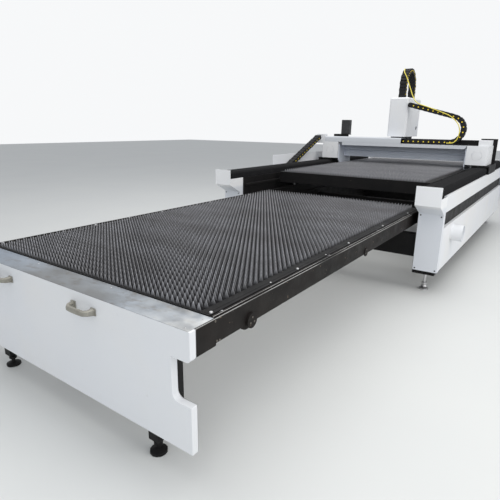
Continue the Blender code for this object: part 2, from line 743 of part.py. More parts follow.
def table_frame():
    """Crossbar between the channels with two legs and two bars that stiffen the panel."""
    front = PANEL_DEPTH + GAP
    back = front + CROSSBAR_DEPTH
    top = CHANNEL_TOP - CROSSBAR_DROP
    bottom = top - CROSSBAR_HEIGHT
    half = CHANNEL_OUTER - CHANNEL_FLANGE - GAP
    frame = box((-half, half), (front, back), (bottom, top))
    centre_y = (front + back) / 2
    additions = []
    for side in (-1, 1):
        leg_x = side * LEG_CENTRE
        additions.append(box((leg_x - LEG_WIDTH / 2, leg_x + LEG_WIDTH / 2),
                             (front + SINK, back - SINK), (TABLE_FOOT_HEIGHT, bottom + SINK)))
        bar_x = side * STIFFENER_CENTRE
        additions.append(box((bar_x - STIFFENER_WIDTH / 2, bar_x + STIFFENER_WIDTH / 2),
                             (front + SINK, front + STIFFENER_DEPTH),
                             (PANEL_BOTTOM + STIFFENER_CLEARANCE, bottom + SINK)))
        additions.append(foot((leg_x, centre_y, 0), TABLE_FOOT_HEIGHT + SINK))
    return piece(fuse(frame, additions), "table_frame", BLACK_PAINT)


def slat_rows(start, frame_top):
    """One toothed slat, repeated along the pallet."""
    tip = frame_top + SLAT_RISE
    bottom = tip - SLAT_DEPTH
    half = PALLET_HALF_WIDTH - PALLET_SIDE_BAR
    end = half + SLAT_SEAT
    tooth = 2 * half / SLAT_TEETH
    valley = tip - SLAT_TOOTH
    outline = [(-end, bottom), (end, bottom), (end, valley)]
    for i in range(SLAT_TEETH):
        right = half - tooth * i
        outline += [(right - tooth / 2, tip), (right - tooth, valley)]
    outline[-1] = (-end, valley)
    inner_length = PALLET_LENGTH - 2 * PALLET_END_BAR
    count = int(inner_length / SLAT_SPACING)
    first = start + PALLET_END_BAR + (inner_length - (count - 1) * SLAT_SPACING) / 2
    slats = extrusion([outline], (first - SLAT_THICKNESS / 2, first + SLAT_THICKNESS / 2), "Y")
    array = slats.modifiers.new("Array", "ARRAY")
    array.count = count
    array.use_relative_offset = False
    array.use_constant_offset = True
    array.constant_offset_displace = (0, 0, -SLAT_SPACING)
    return slats


def pallet_frame(start, frame_top):
    """Rectangular frame with two long support bars and the slats seated in it."""
    half = PALLET_HALF_WIDTH
    inner = half - PALLET_SIDE_BAR
    end = start + PALLET_LENGTH
    outer_ring = [(-half, start), (half, start), (half, end), (-half, end)]
    inner_start, inner_end = start + PALLET_END_BAR, end - PALLET_END_BAR
    inner_ring = [(-inner, inner_start), (inner, inner_start), (inner, inner_end), (-inner, inner_end)]
    bottom = frame_top - PALLET_FRAME_HEIGHT
    frame = extrusion([outer_ring, inner_ring], (bottom, frame_top), "Z")
    slat_bottom = frame_top + SLAT_RISE - SLAT_DEPTH
    bars = []
    for side in (-1, 1):
        centre = side * SUPPORT_BAR_CENTRE
        bars.append(box((centre - SUPPORT_BAR_WIDTH / 2, centre + SUPPORT_BAR_WIDTH / 2),
                        (inner_start - SINK, inner_end + SINK), (bottom + SINK, slat_bottom - SINK)))
    return fuse(frame, bars + [slat_rows(start, frame_top)])


def wheel_places(start):
    """Distances along the machine of one pallet's front and back axles."""
    return {"front": start + WHEEL_OFFSET, "back": start + PALLET_LENGTH - WHEEL_OFFSET}


def axle_bores(start, axle_z):
    """Cutters for the holes that the four stub axles of one pallet turn in."""
    middle = PALLET_HALF_WIDTH - (PALLET_SIDE_BAR - HANGER_THICKNESS) / 2
    length = PALLET_SIDE_BAR + HANGER_THICKNESS + 2 * OVERRUN
    return [rod((side * middle, y, axle_z), "X", length, AXLE_RADIUS + WHEEL_BORE_CLEARANCE, WHEEL_SIDES)
            for side in (-1, 1) for y in wheel_places(start).values()]


def lower_pallet():
    pallet = pallet_frame(LOWER_PALLET_START, LOWER_FRAME_TOP)
    return piece(cut(pallet, axle_bores(LOWER_PALLET_START, LOWER_AXLE_Z)), "lower_pallet", SLAT_STEEL)


def upper_pallet():
    """The same frame on hangers that reach down to the wheels on the track."""
    pallet = pallet_frame(UPPER_PALLET_START, UPPER_FRAME_TOP)
    bottom = UPPER_FRAME_TOP - PALLET_FRAME_HEIGHT
    hanger_outer = PALLET_HALF_WIDTH + HANGER_THICKNESS
    hangers = []
    for side in (-1, 1):
        for y in wheel_places(UPPER_PALLET_START).values():
            hangers.append(box(side_range(side, PALLET_HALF_WIDTH - SINK, hanger_outer),
                               (y - HANGER_HALF_LENGTH, y + HANGER_HALF_LENGTH),
                               (UPPER_AXLE_Z - HANGER_DROP, bottom + HANGER_RISE)))
    cut(fuse(pallet, hangers), axle_bores(UPPER_PALLET_START, UPPER_AXLE_Z))
    return piece(pallet, "upper_pallet", SLAT_STEEL)


def wheel(side, inner_face, y, z, radius, stub):
    """Wheel with a stub axle on its inner face, with its origin on the axis."""
    half = WHEEL_WIDTH / 2
    profile = [(0, half), (radius - WHEEL_CHAMFER, half), (radius, half - WHEEL_CHAMFER),
               (radius, WHEEL_CHAMFER - half), (radius - WHEEL_CHAMFER, -half), (AXLE_RADIUS, -half),
               (AXLE_RADIUS, -half - stub), (0, -half - stub)]
    return turned(profile, WHEEL_SIDES, (side * (inner_face + half), y, z), (0, side * RIGHT_ANGLE, 0))


def pallet_wheels(level, start, inner_face, axle_z, radius, stub):
    wheels = []
    for side, side_name in SIDES:
        for end, y in wheel_places(start).items():
            shape = wheel(side, inner_face, y, axle_z, radius, stub)
            wheels.append(piece(shape, f"{level}_wheel_{end}_{side_name}", WHEEL_STEEL))
    return wheels


def bed_frame():
    """Welded bed: side girders with the Y rails, cross beams and inner rails for the pallets."""
    frame = box((GIRDER_INNER, GIRDER_OUTER), (GIRDER_FRONT, GIRDER_BACK), (GIRDER_BOTTOM, GIRDER_TOP))
    reach = GIRDER_INNER + SINK
    first = GIRDER_FRONT + CROSS_BEAM_MARGIN
    last = GIRDER_BACK - CROSS_BEAM_MARGIN - CROSS_BEAM_WIDTH
    additions = []
    for y in (first, (first + last) / 2, last):
        additions.append(box((-reach, reach), (y, y + CROSS_BEAM_WIDTH),
                             (CROSS_BEAM_TOP - CROSS_BEAM_HEIGHT, CROSS_BEAM_TOP)))
    plate_start = last + CROSS_BEAM_WIDTH
    additions.append(box((-reach, reach), (plate_start - SINK, plate_start + REAR_PLATE_THICKNESS),
                         (GIRDER_BOTTOM + SINK, CROSS_BEAM_TOP - CROSS_BEAM_HEIGHT / 2)))
    additions.append(box((-GIRDER_OUTER, -GIRDER_INNER), (GIRDER_FRONT, GIRDER_BACK),
                         (GIRDER_BOTTOM, GIRDER_TOP)))
    rail_start = TABLE_END + GAP
    bracket_first = GIRDER_FRONT + RAIL_BRACKET_MARGIN
    bracket_step = (BED_CHANNEL_END - bracket_first - RAIL_BRACKET_MARGIN) / (RAIL_BRACKET_COUNT - 1)
    rail_middle = (CHANNEL_TOP + CHANNEL_BOTTOM) / 2
    for side in (-1, 1):
        for i in range(RAIL_BRACKET_COUNT):
            y = bracket_first + bracket_step * i
            additions.append(box(side_range(side, CHANNEL_OUTER - CHANNEL_WALL / 2, reach),
                                 (y, y + RAIL_BRACKET_LENGTH),
                                 (rail_middle - RAIL_BRACKET_HEIGHT / 2, rail_middle + RAIL_BRACKET_HEIGHT / 2)))
        additions.append(channel(side, (rail_start, BED_CHANNEL_END)))
        additions.append(track(side, (rail_start, BED_CHANNEL_END)))
        additions.append(box(side_range(side, GIRDER_INNER - GUIDE_BAR_WIDTH, reach),
                             (GIRDER_FRONT + OVERRUN, GIRDER_BACK - OVERRUN),
                             (GUIDE_BAR_LEVEL, GUIDE_BAR_LEVEL + GUIDE_BAR_HEIGHT)))
        ledge_inner = GIRDER_INNER + LEDGE_INSET
        additions.append(box(side_range(side, ledge_inner, ledge_inner + LEDGE_WIDTH),
                             (GIRDER_FRONT + SINK, GIRDER_BACK - SINK), (GIRDER_TOP - SINK, BAND_TOP)))
        additions.append(box(side_range(side, Y_RAIL_CENTRE - Y_RAIL_WIDTH / 2, Y_RAIL_CENTRE + Y_RAIL_WIDTH / 2),
                             (GIRDER_FRONT + Y_RAIL_END_MARGIN, GIRDER_BACK - Y_RAIL_END_MARGIN),
                             (GIRDER_TOP - SINK, GIRDER_TOP + Y_RAIL_HEIGHT)))
    return piece(fuse(frame, additions), "bed_frame", BLACK_PAINT)


def front_end_cover(side):
    """Bent sheet cover: visor plate, slope and column, with cheeks at both sides."""
    back = GIRDER_FRONT - GAP
    outline = [(COVER_COLUMN_FRONT, COVER_BOTTOM), (back, COVER_BOTTOM), (back, BAND_TOP),
               (COVER_FRONT + SHEET, BAND_TOP), (COVER_FRONT + SHEET, COVER_TOP), (COVER_FRONT, COVER_TOP),
               (COVER_FRONT, COVER_VISOR_BOTTOM), (COVER_COLUMN_FRONT, COVER_SLOPE_BOTTOM)]
    cover = extrusion([outline], side_range(side, COVER_INNER, COVER_OUTER), "X")
    hollow_outline = inset([(COVER_COLUMN_FRONT, COVER_BOTTOM - OVERRUN), (back + OVERRUN, COVER_BOTTOM - OVERRUN),
                            (back + OVERRUN, BAND_TOP + OVERRUN), (COVER_FRONT, BAND_TOP + OVERRUN),
                            (COVER_FRONT, COVER_VISOR_BOTTOM), (COVER_COLUMN_FRONT, COVER_SLOPE_BOTTOM)], SHEET)
    hollow = extrusion([hollow_outline], side_range(side, COVER_INNER + SHEET, COVER_OUTER - SHEET), "X")
    return cut(cover, [hollow])


def rear_end_cover(side):
    """Plain folded pan at the back of the bed."""
    front = GIRDER_BACK + GAP
    cover = box(side_range(side, COVER_INNER, COVER_OUTER), (front, MACHINE_BACK), (COVER_BOTTOM, COVER_TOP))
    hollow = box(side_range(side, COVER_INNER + SHEET, COVER_OUTER - SHEET),
                 (front - OVERRUN, MACHINE_BACK - SHEET), (COVER_BOTTOM + SHEET, COVER_TOP - SHEET))
    return cut(cover, [hollow])


def side_pan(side, y_range, z_range):
    """Folded pan screwed to the outside of a girder, open towards it."""
    inner = GIRDER_OUTER + GAP
    pan = box(side_range(side, inner, COVER_OUTER), y_range, z_range)
    hollow = box(side_range(side, inner - OVERRUN, COVER_OUTER - SHEET),
                 (y_range[0] + SHEET, y_range[1] - SHEET), (z_range[0] + SHEET, z_range[1] - SHEET))
    return cut(pan, [hollow])


def duct_stub():
    """Short round spigot with a flange on the right side panel."""
    base = COVER_OUTER + GAP
    length = SIDE_REACH - base
    flange_radius = DUCT_RADIUS + DUCT_FLANGE
    profile = [(DUCT_RADIUS - SHEET, length), (DUCT_RADIUS, length), (DUCT_RADIUS, SHEET),
               (flange_radius, SHEET), (flange_radius, 0), (DUCT_RADIUS - SHEET, 0)]
    stub = turned(profile, DUCT_SIDES, (base, DUCT_Y, DUCT_Z), (0, RIGHT_ANGLE, 0), ring=True)
    return piece(stub, "duct_stub", WHITE_PAINT)


def bellows(side, start, end):
    """Accordion cover lofted through sections that alternate between ridge and valley."""
    folds = max(1, round((end - start) / BELLOWS_FOLD_PITCH))
    sections = 2 * folds + 1
    base = BAND_TOP + GAP
    work = bmesh.new()
    rings = []
    for i in range(sections):
        depth = BELLOWS_FOLD_DEPTH if i % 2 else 0
        left, right, top = BELLOWS_INNER + depth, BELLOWS_OUTER - depth, BELLOWS_TOP - depth
        wall = BELLOWS_WALL
        outline = [(left, base), (left, top), (right, top), (right, base), (right - wall, base),
                   (right - wall, top - wall), (left + wall, top - wall), (left + wall, base)]
        y = start + (end - start) * i / (sections - 1)
        rings.append([work.verts.new((side * x, y, z)) for x, z in outline])
    for first, second in zip(rings, rings[1:]):
        for i in range(len(first)):
            j = (i + 1) % len(first)
            work.faces.new((first[i], first[j], second[j], second[i]))
    work.faces.new(rings[0])
    work.faces.new(rings[-1])
    bmesh.ops.recalc_face_normals(work, faces=work.faces)
    mesh = bpy.data.meshes.new("bellows")
    work.to_mesh(mesh)
    work.free()
    shape = bpy.data.objects.new("bellows", mesh)
    bpy.context.scene.collection.objects.link(shape)
    return shape


def carriage(side):
    """Gantry foot: plate with two skirts and a block that straddles the rail."""
    inner, outer = COVER_INNER, CARRIAGE_OUTER
    skirt_bottom = BAND_TOP + CARRIAGE_RUNNING_CLEARANCE
    plate_bottom = CARRIAGE_TOP - CARRIAGE_PLATE
    block_bottom = GIRDER_TOP + CARRIAGE_BLOCK_CLEARANCE
    groove_top = GIRDER_TOP + Y_RAIL_HEIGHT + GAP
    block_left, block_right = Y_RAIL_CENTRE - CARRIAGE_BLOCK_HALF_WIDTH, Y_RAIL_CENTRE + CARRIAGE_BLOCK_HALF_WIDTH
    groove_left = Y_RAIL_CENTRE - Y_RAIL_WIDTH / 2 - GAP
    groove_right = Y_RAIL_CENTRE + Y_RAIL_WIDTH / 2 + GAP
    outline = [(inner, skirt_bottom), (inner + CARRIAGE_SKIRT, skirt_bottom), (inner + CARRIAGE_SKIRT, plate_bottom),
               (block_left, plate_bottom), (block_left, block_bottom), (groove_left, block_bottom),
               (groove_left, groove_top), (groove_right, groove_top), (groove_right, block_bottom),
               (block_right, block_bottom), (block_right, plate_bottom), (outer - CARRIAGE_SKIRT, plate_bottom),
               (outer - CARRIAGE_SKIRT, skirt_bottom), (outer, skirt_bottom), (outer, CARRIAGE_TOP),
               (inner, CARRIAGE_TOP)]
    return extrusion([[(side * x, z) for x, z in outline]], (CARRIAGE_FRONT, CARRIAGE_BACK), "Y")


def x_rails():
    """Two rails for the head carriage, one on top of the beam and one on its far face."""
    reach = END_PLATE_INNER - OVERRUN
    top_y = BEAM_BACK - X_RAIL_TOP_OFFSET
    top = box((-reach, reach), (top_y - X_RAIL_WIDTH / 2, top_y + X_RAIL_WIDTH / 2),
              (BEAM_TOP - SINK, BEAM_TOP + X_RAIL_HEIGHT))
    rear = box((-reach, reach), (BEAM_BACK - SINK, BEAM_BACK + X_RAIL_HEIGHT),
               (X_RAIL_REAR_LEVEL - X_RAIL_WIDTH / 2, X_RAIL_REAR_LEVEL + X_RAIL_WIDTH / 2))
    return [top, rear]


def gantry_beam():
    """Box beam with a ribbed near face, two rails, feet, and end plates beside the slats."""
    lip_face = BEAM_FRONT - BEAM_LIP_PROUD
    groove_low, groove_high = BEAM_GROOVE_LEVEL - BEAM_GROOVE, BEAM_GROOVE_LEVEL + BEAM_GROOVE
    outline = [(lip_face, BEAM_BOTTOM), (BEAM_BACK, BEAM_BOTTOM), (BEAM_BACK, BEAM_TOP), (BEAM_FRONT, BEAM_TOP),
               (BEAM_FRONT, groove_high), (BEAM_FRONT + BEAM_GROOVE, BEAM_GROOVE_LEVEL),
               (BEAM_FRONT, groove_low), (BEAM_FRONT, BEAM_BOTTOM + BEAM_LIP + BEAM_LIP_PROUD),
               (lip_face, BEAM_BOTTOM + BEAM_LIP)]
    beam = extrusion([outline], (-BEAM_HALF_LENGTH, BEAM_HALF_LENGTH), "X")
    plate_top = BEAM_TOP - END_PLATE_TOP_MARGIN
    plate = [(END_PLATE_FRONT + END_PLATE_CHAMFER, END_PLATE_BOTTOM), (BEAM_BACK - SINK, END_PLATE_BOTTOM),
             (BEAM_BACK - SINK, plate_top), (END_PLATE_FRONT, plate_top),
             (END_PLATE_FRONT, END_PLATE_BOTTOM + END_PLATE_CHAMFER)]
    additions = []
    for side in (-1, 1):
        additions.append(extrusion([plate], side_range(side, END_PLATE_INNER, END_PLATE_INNER + END_PLATE_THICKNESS),
                                   "X"))
        additions.append(box(side_range(side, BEAM_FOOT_INNER, BEAM_HALF_LENGTH - SINK),
                             (BEAM_FRONT + BEAM_FOOT_MARGIN, BEAM_BACK - BEAM_FOOT_MARGIN),
                             (CARRIAGE_TOP + GAP, BEAM_BOTTOM + SINK)))
    return piece(fuse(beam, additions + x_rails()), "gantry_beam", BEAM_GREY)


def end_box(side):
    """Folded cover over one end of the beam, with a round louvred vent in its near face."""
    low = CARRIAGE_TOP + GAP
    inner_wall, outer_wall = END_BOX_INNER + SHEET, END_BOX_OUTER - SHEET
    ceiling = SKIRT_TOP - SHEET
    shell = box(side_range(side, END_BOX_INNER, END_BOX_OUTER), (END_BOX_FRONT, END_BOX_BACK), (low, SKIRT_TOP))
    hollow = box(side_range(side, inner_wall, outer_wall), (END_BOX_FRONT + SHEET, END_BOX_BACK + OVERRUN),
                 (low - OVERRUN, ceiling))
    beam_way = box(side_range(side, END_BOX_INNER - OVERRUN, inner_wall + SINK),
                   (END_BOX_SIDE_END, END_BOX_BACK + OVERRUN), (low - OVERRUN, ceiling))
    centre_x = side * (END_BOX_INNER + END_BOX_OUTER) / 2
    centre_z = (low + SKIRT_TOP) / 2
    slots = []
    for i in range(VENT_SLOTS):
        level = VENT_RADIUS * (2 * (i + 1) / (VENT_SLOTS + 1) - 1)
        half = math.sqrt(VENT_RADIUS ** 2 - level ** 2)
        slots.append(box((centre_x - half, centre_x + half), (END_BOX_FRONT - OVERRUN, END_BOX_FRONT + 2 * SHEET),
                         (centre_z + level - VENT_SLOT_HEIGHT / 2, centre_z + level + VENT_SLOT_HEIGHT / 2)))
    return cut(shell, [hollow, beam_way] + slots)


def beam_skirt():
    """Folded sheet in front of the beam that carries the trough, cut on a slant at its right end."""
    outline = [(END_BOX_FRONT, SKIRT_BOTTOM), (END_BOX_FRONT + SHEET, SKIRT_BOTTOM),
               (END_BOX_FRONT + SHEET, SKIRT_TOP - SHEET), (SKIRT_BACK - SHEET, SKIRT_TOP - SHEET),
               (SKIRT_BACK - SHEET, BEAM_TOP + GAP), (SKIRT_BACK, BEAM_TOP + GAP), (SKIRT_BACK, SKIRT_TOP),
               (END_BOX_FRONT, SKIRT_TOP)]
    skirt = extrusion([outline], (SKIRT_LEFT, SKIRT_RIGHT), "X")
    slant = extrusion([[(SKIRT_RIGHT + OVERRUN, SKIRT_BOTTOM - OVERRUN), (SKIRT_RIGHT + OVERRUN, SKIRT_TOP - SHEET),
                        (SKIRT_RIGHT, SKIRT_TOP - SHEET), (SKIRT_RIGHT - SKIRT_SLANT, SKIRT_BOTTOM - OVERRUN)]],
                      (END_BOX_FRONT - OVERRUN, END_BOX_FRONT + OVERRUN), "Y")
    return piece(cut(skirt, [slant]), "beam_skirt", WHITE_PAINT)


def top_cover():
    """Rounded cover over the left half of the trough, open below, behind and to the right."""
    low = SKIRT_TOP + GAP
    round_off = TOP_COVER_ROUND
    cover = box((TOP_COVER_LEFT, TOP_COVER_RIGHT + 2 * round_off), (END_BOX_FRONT, TOP_COVER_BACK + 2 * round_off),
                (low - 2 * round_off, TOP_COVER_TOP))
    bevel = cover.modifiers.new("Bevel", "BEVEL")
    bevel.width = round_off
    bevel.segments = TOP_COVER_ROUND_STEPS
    hollow = box((TOP_COVER_LEFT + SHEET, TOP_COVER_RIGHT + 3 * round_off),
                 (END_BOX_FRONT + SHEET, TOP_COVER_BACK + 3 * round_off), (low - 3 * round_off, TOP_COVER_TOP - SHEET))
    hollow_bevel = hollow.modifiers.new("Bevel", "BEVEL")
    hollow_bevel.width = round_off - SHEET
    hollow_bevel.segments = TOP_COVER_ROUND_STEPS
    below = box((TOP_COVER_LEFT - OVERRUN, TOP_COVER_RIGHT + 4 * round_off),
                (END_BOX_FRONT - OVERRUN, TOP_COVER_BACK + 4 * round_off), (low - 4 * round_off, low))
    behind = box((TOP_COVER_LEFT - OVERRUN, TOP_COVER_RIGHT + 4 * round_off),
                 (TOP_COVER_BACK, TOP_COVER_BACK + 4 * round_off), (low - 4 * round_off, TOP_COVER_TOP + OVERRUN))
    right = box((TOP_COVER_RIGHT, TOP_COVER_RIGHT + 4 * round_off),
                (END_BOX_FRONT - OVERRUN, TOP_COVER_BACK + 4 * round_off),
                (low - 4 * round_off, TOP_COVER_TOP + OVERRUN))
    return piece(cut(cover, [hollow, below, behind, right]), "top_cover", WHITE_PAINT)


def chain_trough():
    """Open tray for the X drag chain, low in front and high behind."""
    low = SKIRT_TOP + GAP
    floor = low + TROUGH_WALL
    outline = [(TROUGH_FRONT, low), (TROUGH_BACK, low), (TROUGH_BACK, low + TROUGH_BACK_WALL),
               (TROUGH_BACK - TROUGH_WALL, low + TROUGH_BACK_WALL), (TROUGH_BACK - TROUGH_WALL, floor),
               (TROUGH_FRONT + TROUGH_WALL, floor), (TROUGH_FRONT + TROUGH_WALL, low + TROUGH_FRONT_WALL),
               (TROUGH_FRONT, low + TROUGH_FRONT_WALL)]
    return piece(extrusion([outline], (TROUGH_LEFT, TROUGH_RIGHT), "X"), "chain_trough", BLACK_PAINT)


def junction_box():
    low = SKIRT_TOP + GAP
    shape = box((JUNCTION_BOX_LEFT, JUNCTION_BOX_RIGHT), (JUNCTION_BOX_FRONT, JUNCTION_BOX_BACK),
                (low, JUNCTION_BOX_TOP))
    return piece(shape, "junction_box", WHITE_PAINT)


def motor_bracket_right():
    shape = box((BRACKET_INNER, BRACKET_OUTER), (BRACKET_FRONT, BRACKET_FRONT + BRACKET_THICKNESS),
                (CARRIAGE_TOP + GAP, BRACKET_TOP_RIGHT))
    return piece(shape, "motor_bracket_right", BLACK_PAINT)


def motor_bracket_left():
    """Angle bracket whose shelf carries the left drive motor."""
    back = BRACKET_FRONT + BRACKET_THICKNESS
    shelf = BRACKET_TOP_LEFT - BRACKET_THICKNESS
    outline = [(BRACKET_FRONT, CARRIAGE_TOP + GAP), (back, CARRIAGE_TOP + GAP), (back, shelf),
               (BRACKET_FRONT + BRACKET_SHELF, shelf), (BRACKET_FRONT + BRACKET_SHELF, BRACKET_TOP_LEFT),
               (BRACKET_FRONT, BRACKET_TOP_LEFT)]
    shape = extrusion([outline], (-BRACKET_OUTER, MOTOR_RIGHT), "X")
    return piece(shape, "motor_bracket_left", BLACK_PAINT)


def drive_motor_left():
    low = BRACKET_TOP_LEFT + GAP
    shape = box((MOTOR_LEFT, MOTOR_RIGHT), (BRACKET_FRONT + MOTOR_MARGIN, BRACKET_FRONT + BRACKET_SHELF - MOTOR_MARGIN),
                (low, low + MOTOR_HEIGHT))
    bevel = shape.modifiers.new("Bevel", "BEVEL")
    bevel.width = MOTOR_BEVEL
    bevel.segments = 1
    return piece(shape, "drive_motor_left", BLACK_PAINT)


def head_carriage():
    """Saddle over the beam with a plate down its far face and a mast inside the cover."""
    top_rail_top = BEAM_TOP + X_RAIL_HEIGHT + GAP
    mast_front = HEAD_PLATE_BACK - HEAD_MAST_THICKNESS
    outline = [(HEAD_PLATE_FRONT, HEAD_PLATE_BOTTOM), (HEAD_PLATE_BACK, HEAD_PLATE_BOTTOM),
               (HEAD_PLATE_BACK, HEAD_MAST_TOP), (mast_front, HEAD_MAST_TOP), (mast_front, HEAD_SADDLE_TOP),
               (HEAD_SADDLE_FRONT, HEAD_SADDLE_TOP), (HEAD_SADDLE_FRONT, SKIRT_TOP + GAP + OVERRUN),
               (SKIRT_BACK + OVERRUN, SKIRT_TOP + GAP + OVERRUN), (SKIRT_BACK + OVERRUN, top_rail_top),
               (HEAD_PLATE_FRONT, top_rail_top)]
    half = HEAD_PLATE_WIDTH / 2
    shape = extrusion([outline], (HEAD_CENTRE - half, HEAD_CENTRE + half), "X")
    return piece(shape, "head_carriage", BLACK_PAINT)


def head_cover():
    """White hood with bevelled edges, a slot for the Z chain and a bracket for the X chain."""
    bevel_width = HEAD_COVER_BEVEL
    hood = box((HEAD_LEFT, HEAD_RIGHT), (HEAD_COVER_FRONT, HEAD_COVER_BACK),
               (HEAD_COVER_BOTTOM - 2 * bevel_width, HEAD_COVER_TOP))
    bevel = hood.modifiers.new("Bevel", "BEVEL")
    bevel.width = bevel_width
    bevel.segments = 1
    hollow = box((HEAD_LEFT + SHEET, HEAD_RIGHT - SHEET), (HEAD_COVER_FRONT + SHEET, HEAD_COVER_BACK - SHEET),
                 (HEAD_COVER_BOTTOM - 3 * bevel_width, HEAD_COVER_TOP - SHEET))
    hollow_bevel = hollow.modifiers.new("Bevel", "BEVEL")
    hollow_bevel.width = bevel_width
    hollow_bevel.segments = 1
    below = box((HEAD_LEFT - OVERRUN, HEAD_RIGHT + OVERRUN),
                (HEAD_COVER_FRONT - OVERRUN, HEAD_COVER_BACK + OVERRUN),
                (HEAD_COVER_BOTTOM - 3 * bevel_width, HEAD_COVER_BOTTOM))
    half_slot = Z_CHAIN_WIDTH / 2 + SLOT_CLEARANCE
    chain_half = CHAIN_HEIGHT / 2 + SLOT_CLEARANCE
    slot = box((HEAD_CENTRE - half_slot, HEAD_CENTRE + half_slot), (Z_CHAIN_BACK - chain_half, Z_CHAIN_BACK + chain_half),
               (HEAD_COVER_TOP - OVERRUN, HEAD_COVER_TOP + OVERRUN))
    bracket_top = HEAD_COVER_TOP - CHAIN_BRACKET_DROP
    bracket_low = bracket_top - CHAIN_BRACKET_HEIGHT
    bracket = extrusion([[(HEAD_RIGHT - SHEET / 2, bracket_low), (HEAD_RIGHT + CHAIN_BRACKET_LENGTH, bracket_low
                          + CHAIN_BRACKET_SLOPE), (HEAD_RIGHT + CHAIN_BRACKET_LENGTH, bracket_top),
                          (HEAD_RIGHT - SHEET / 2, bracket_top)]],
                        (X_CHAIN_CENTRE + CHAIN_WIDTH / 2 + GAP, X_CHAIN_CENTRE + CHAIN_WIDTH / 2 + GAP + SHEET), "Y")
    cut(hood, [hollow, below, slot])
    return piece(fuse(hood, [bracket]), "head_cover", WHITE_PAINT)


def z_slide():
    """Slide plate with a tab at its top that holds the end of the Z chain."""
    front = HEAD_PLATE_BACK + GAP
    tab_end = Z_CHAIN_BACK + CHAIN_HEIGHT / 2
    outline = [(front, Z_SLIDE_BOTTOM), (Z_SLIDE_BACK, Z_SLIDE_BOTTOM), (Z_SLIDE_BACK, Z_SLIDE_TOP - Z_SLIDE_THICKNESS),
               (tab_end, Z_SLIDE_TOP - Z_SLIDE_THICKNESS), (tab_end, Z_SLIDE_TOP), (front, Z_SLIDE_TOP)]
    half = Z_SLIDE_WIDTH / 2
    return piece(extrusion([outline], (HEAD_CENTRE - half, HEAD_CENTRE + half), "X"), "z_slide", BEAM_GREY)


def cutting_head():
    """Turned head body on the slide."""
    profile = [(0, CUTTER_TOP), (CUTTER_RADIUS, CUTTER_TOP), (CUTTER_RADIUS, CUTTER_SHOULDER),
               (CUTTER_NECK_RADIUS, CUTTER_SHOULDER - CUTTER_NECK_RADIUS), (CUTTER_NECK_RADIUS, CUTTER_NECK_BOTTOM),
               (0, CUTTER_NECK_BOTTOM)]
    return piece(turned(profile, CUTTER_SIDES, (HEAD_CENTRE, CUTTER_Y, 0), (0, 0, 0)), "cutting_head", WHEEL_STEEL)


def nozzle():
    """Copper nozzle under the cutting head."""
    top = CUTTER_NECK_BOTTOM - GAP
    profile = [(0, top), (NOZZLE_RADIUS, top), (NOZZLE_RADIUS, top - NOZZLE_RADIUS),
               (NOZZLE_TIP_RADIUS, NOZZLE_TIP), (0, NOZZLE_TIP)]
    return piece(turned(profile, CUTTER_SIDES, (HEAD_CENTRE, CUTTER_Y, 0), (0, 0, 0)), "nozzle", COPPER)


def tangent_angle(centre, radius, outside, turn):
    """Angle on a bend where a straight run from outside meets it; turn picks one of the two."""
    dx, dy = outside[0] - centre[0], outside[1] - centre[1]
    return math.atan2(dy, dx) + turn * math.acos(radius / math.hypot(dx, dy))


def resample(route, pitch):
    """Evenly spaced points along a route, with the unit direction at each."""
    lengths = [math.dist(a, b) for a, b in zip(route, route[1:])]
    total = sum(lengths)
    count = round(total / pitch)
    result = []
    for i in range(count + 1):
        along = total * i / count
        for (a, b), length in zip(zip(route, route[1:]), lengths):
            if along <= length or (a, b) == (route[-2], route[-1]):
                t = min(along / length, 1)
                direction = ((b[0] - a[0]) / length, (b[1] - a[1]) / length)
                result.append(((a[0] + (b[0] - a[0]) * t, a[1] + (b[1] - a[1]) * t), direction))
                break
            along -= length
    return result


def chain_outline(route):
    """Outline of a drag chain along a route, with a notch between each two links."""
    stations = resample(route, CHAIN_PITCH / 2)
    left, right = [], []
    for i, ((u, v), (du, dv)) in enumerate(stations):
        half = CHAIN_HEIGHT / 2 - (CHAIN_NOTCH if i % 2 else 0)
        left.append((u - dv * half, v + du * half))
        right.append((u + dv * half, v - du * half))
    return left + right[::-1]


def x_chain_route():
    """From the fixed end along the trough, round the bend and up to the head."""
    level = X_CHAIN_RUN_LEVEL
    centre = (X_CHAIN_BEND_CENTRE, level + X_CHAIN_BEND_RADIUS)
    head = (HEAD_RIGHT + X_CHAIN_END_CLEARANCE, X_CHAIN_HEAD_LEVEL)
    leave = tangent_angle(centre, X_CHAIN_BEND_RADIUS, head, -1)
    return [(X_CHAIN_FIXED_END, level)] + arc(centre, X_CHAIN_BEND_RADIUS, -RIGHT_ANGLE, leave, BEND_STEPS) + [head]


def y_chain_route():
    """From the fixed end forwards along the tray, round the bend and up to the gantry."""
    centre = (Y_CHAIN_BEND_CENTRE, Y_CHAIN_RUN_LEVEL + Y_CHAIN_BEND_RADIUS)
    gantry = (ARM_FRONT - GAP - CHAIN_HEIGHT / 2, Y_CHAIN_GANTRY_LEVEL)
    leave = tangent_angle(centre, Y_CHAIN_BEND_RADIUS, gantry, 1)
    bend = arc(centre, Y_CHAIN_BEND_RADIUS, 3 * RIGHT_ANGLE, leave, BEND_STEPS)
    return [(Y_CHAIN_FIXED_END, Y_CHAIN_RUN_LEVEL)] + bend + [gantry]


def z_chain_route():
    """From the cover's top up, over, and down to the slide's tab."""
    centre = (Z_CHAIN_FRONT + Z_CHAIN_BEND_RADIUS, Z_CHAIN_TOP - CHAIN_HEIGHT / 2 - Z_CHAIN_BEND_RADIUS)
    bend = arc(centre, Z_CHAIN_BEND_RADIUS, 2 * RIGHT_ANGLE, 0, BEND_STEPS)
    return [(Z_CHAIN_FRONT, HEAD_COVER_TOP + GAP)] + bend + [(Z_CHAIN_BACK, Z_SLIDE_TOP + GAP)]


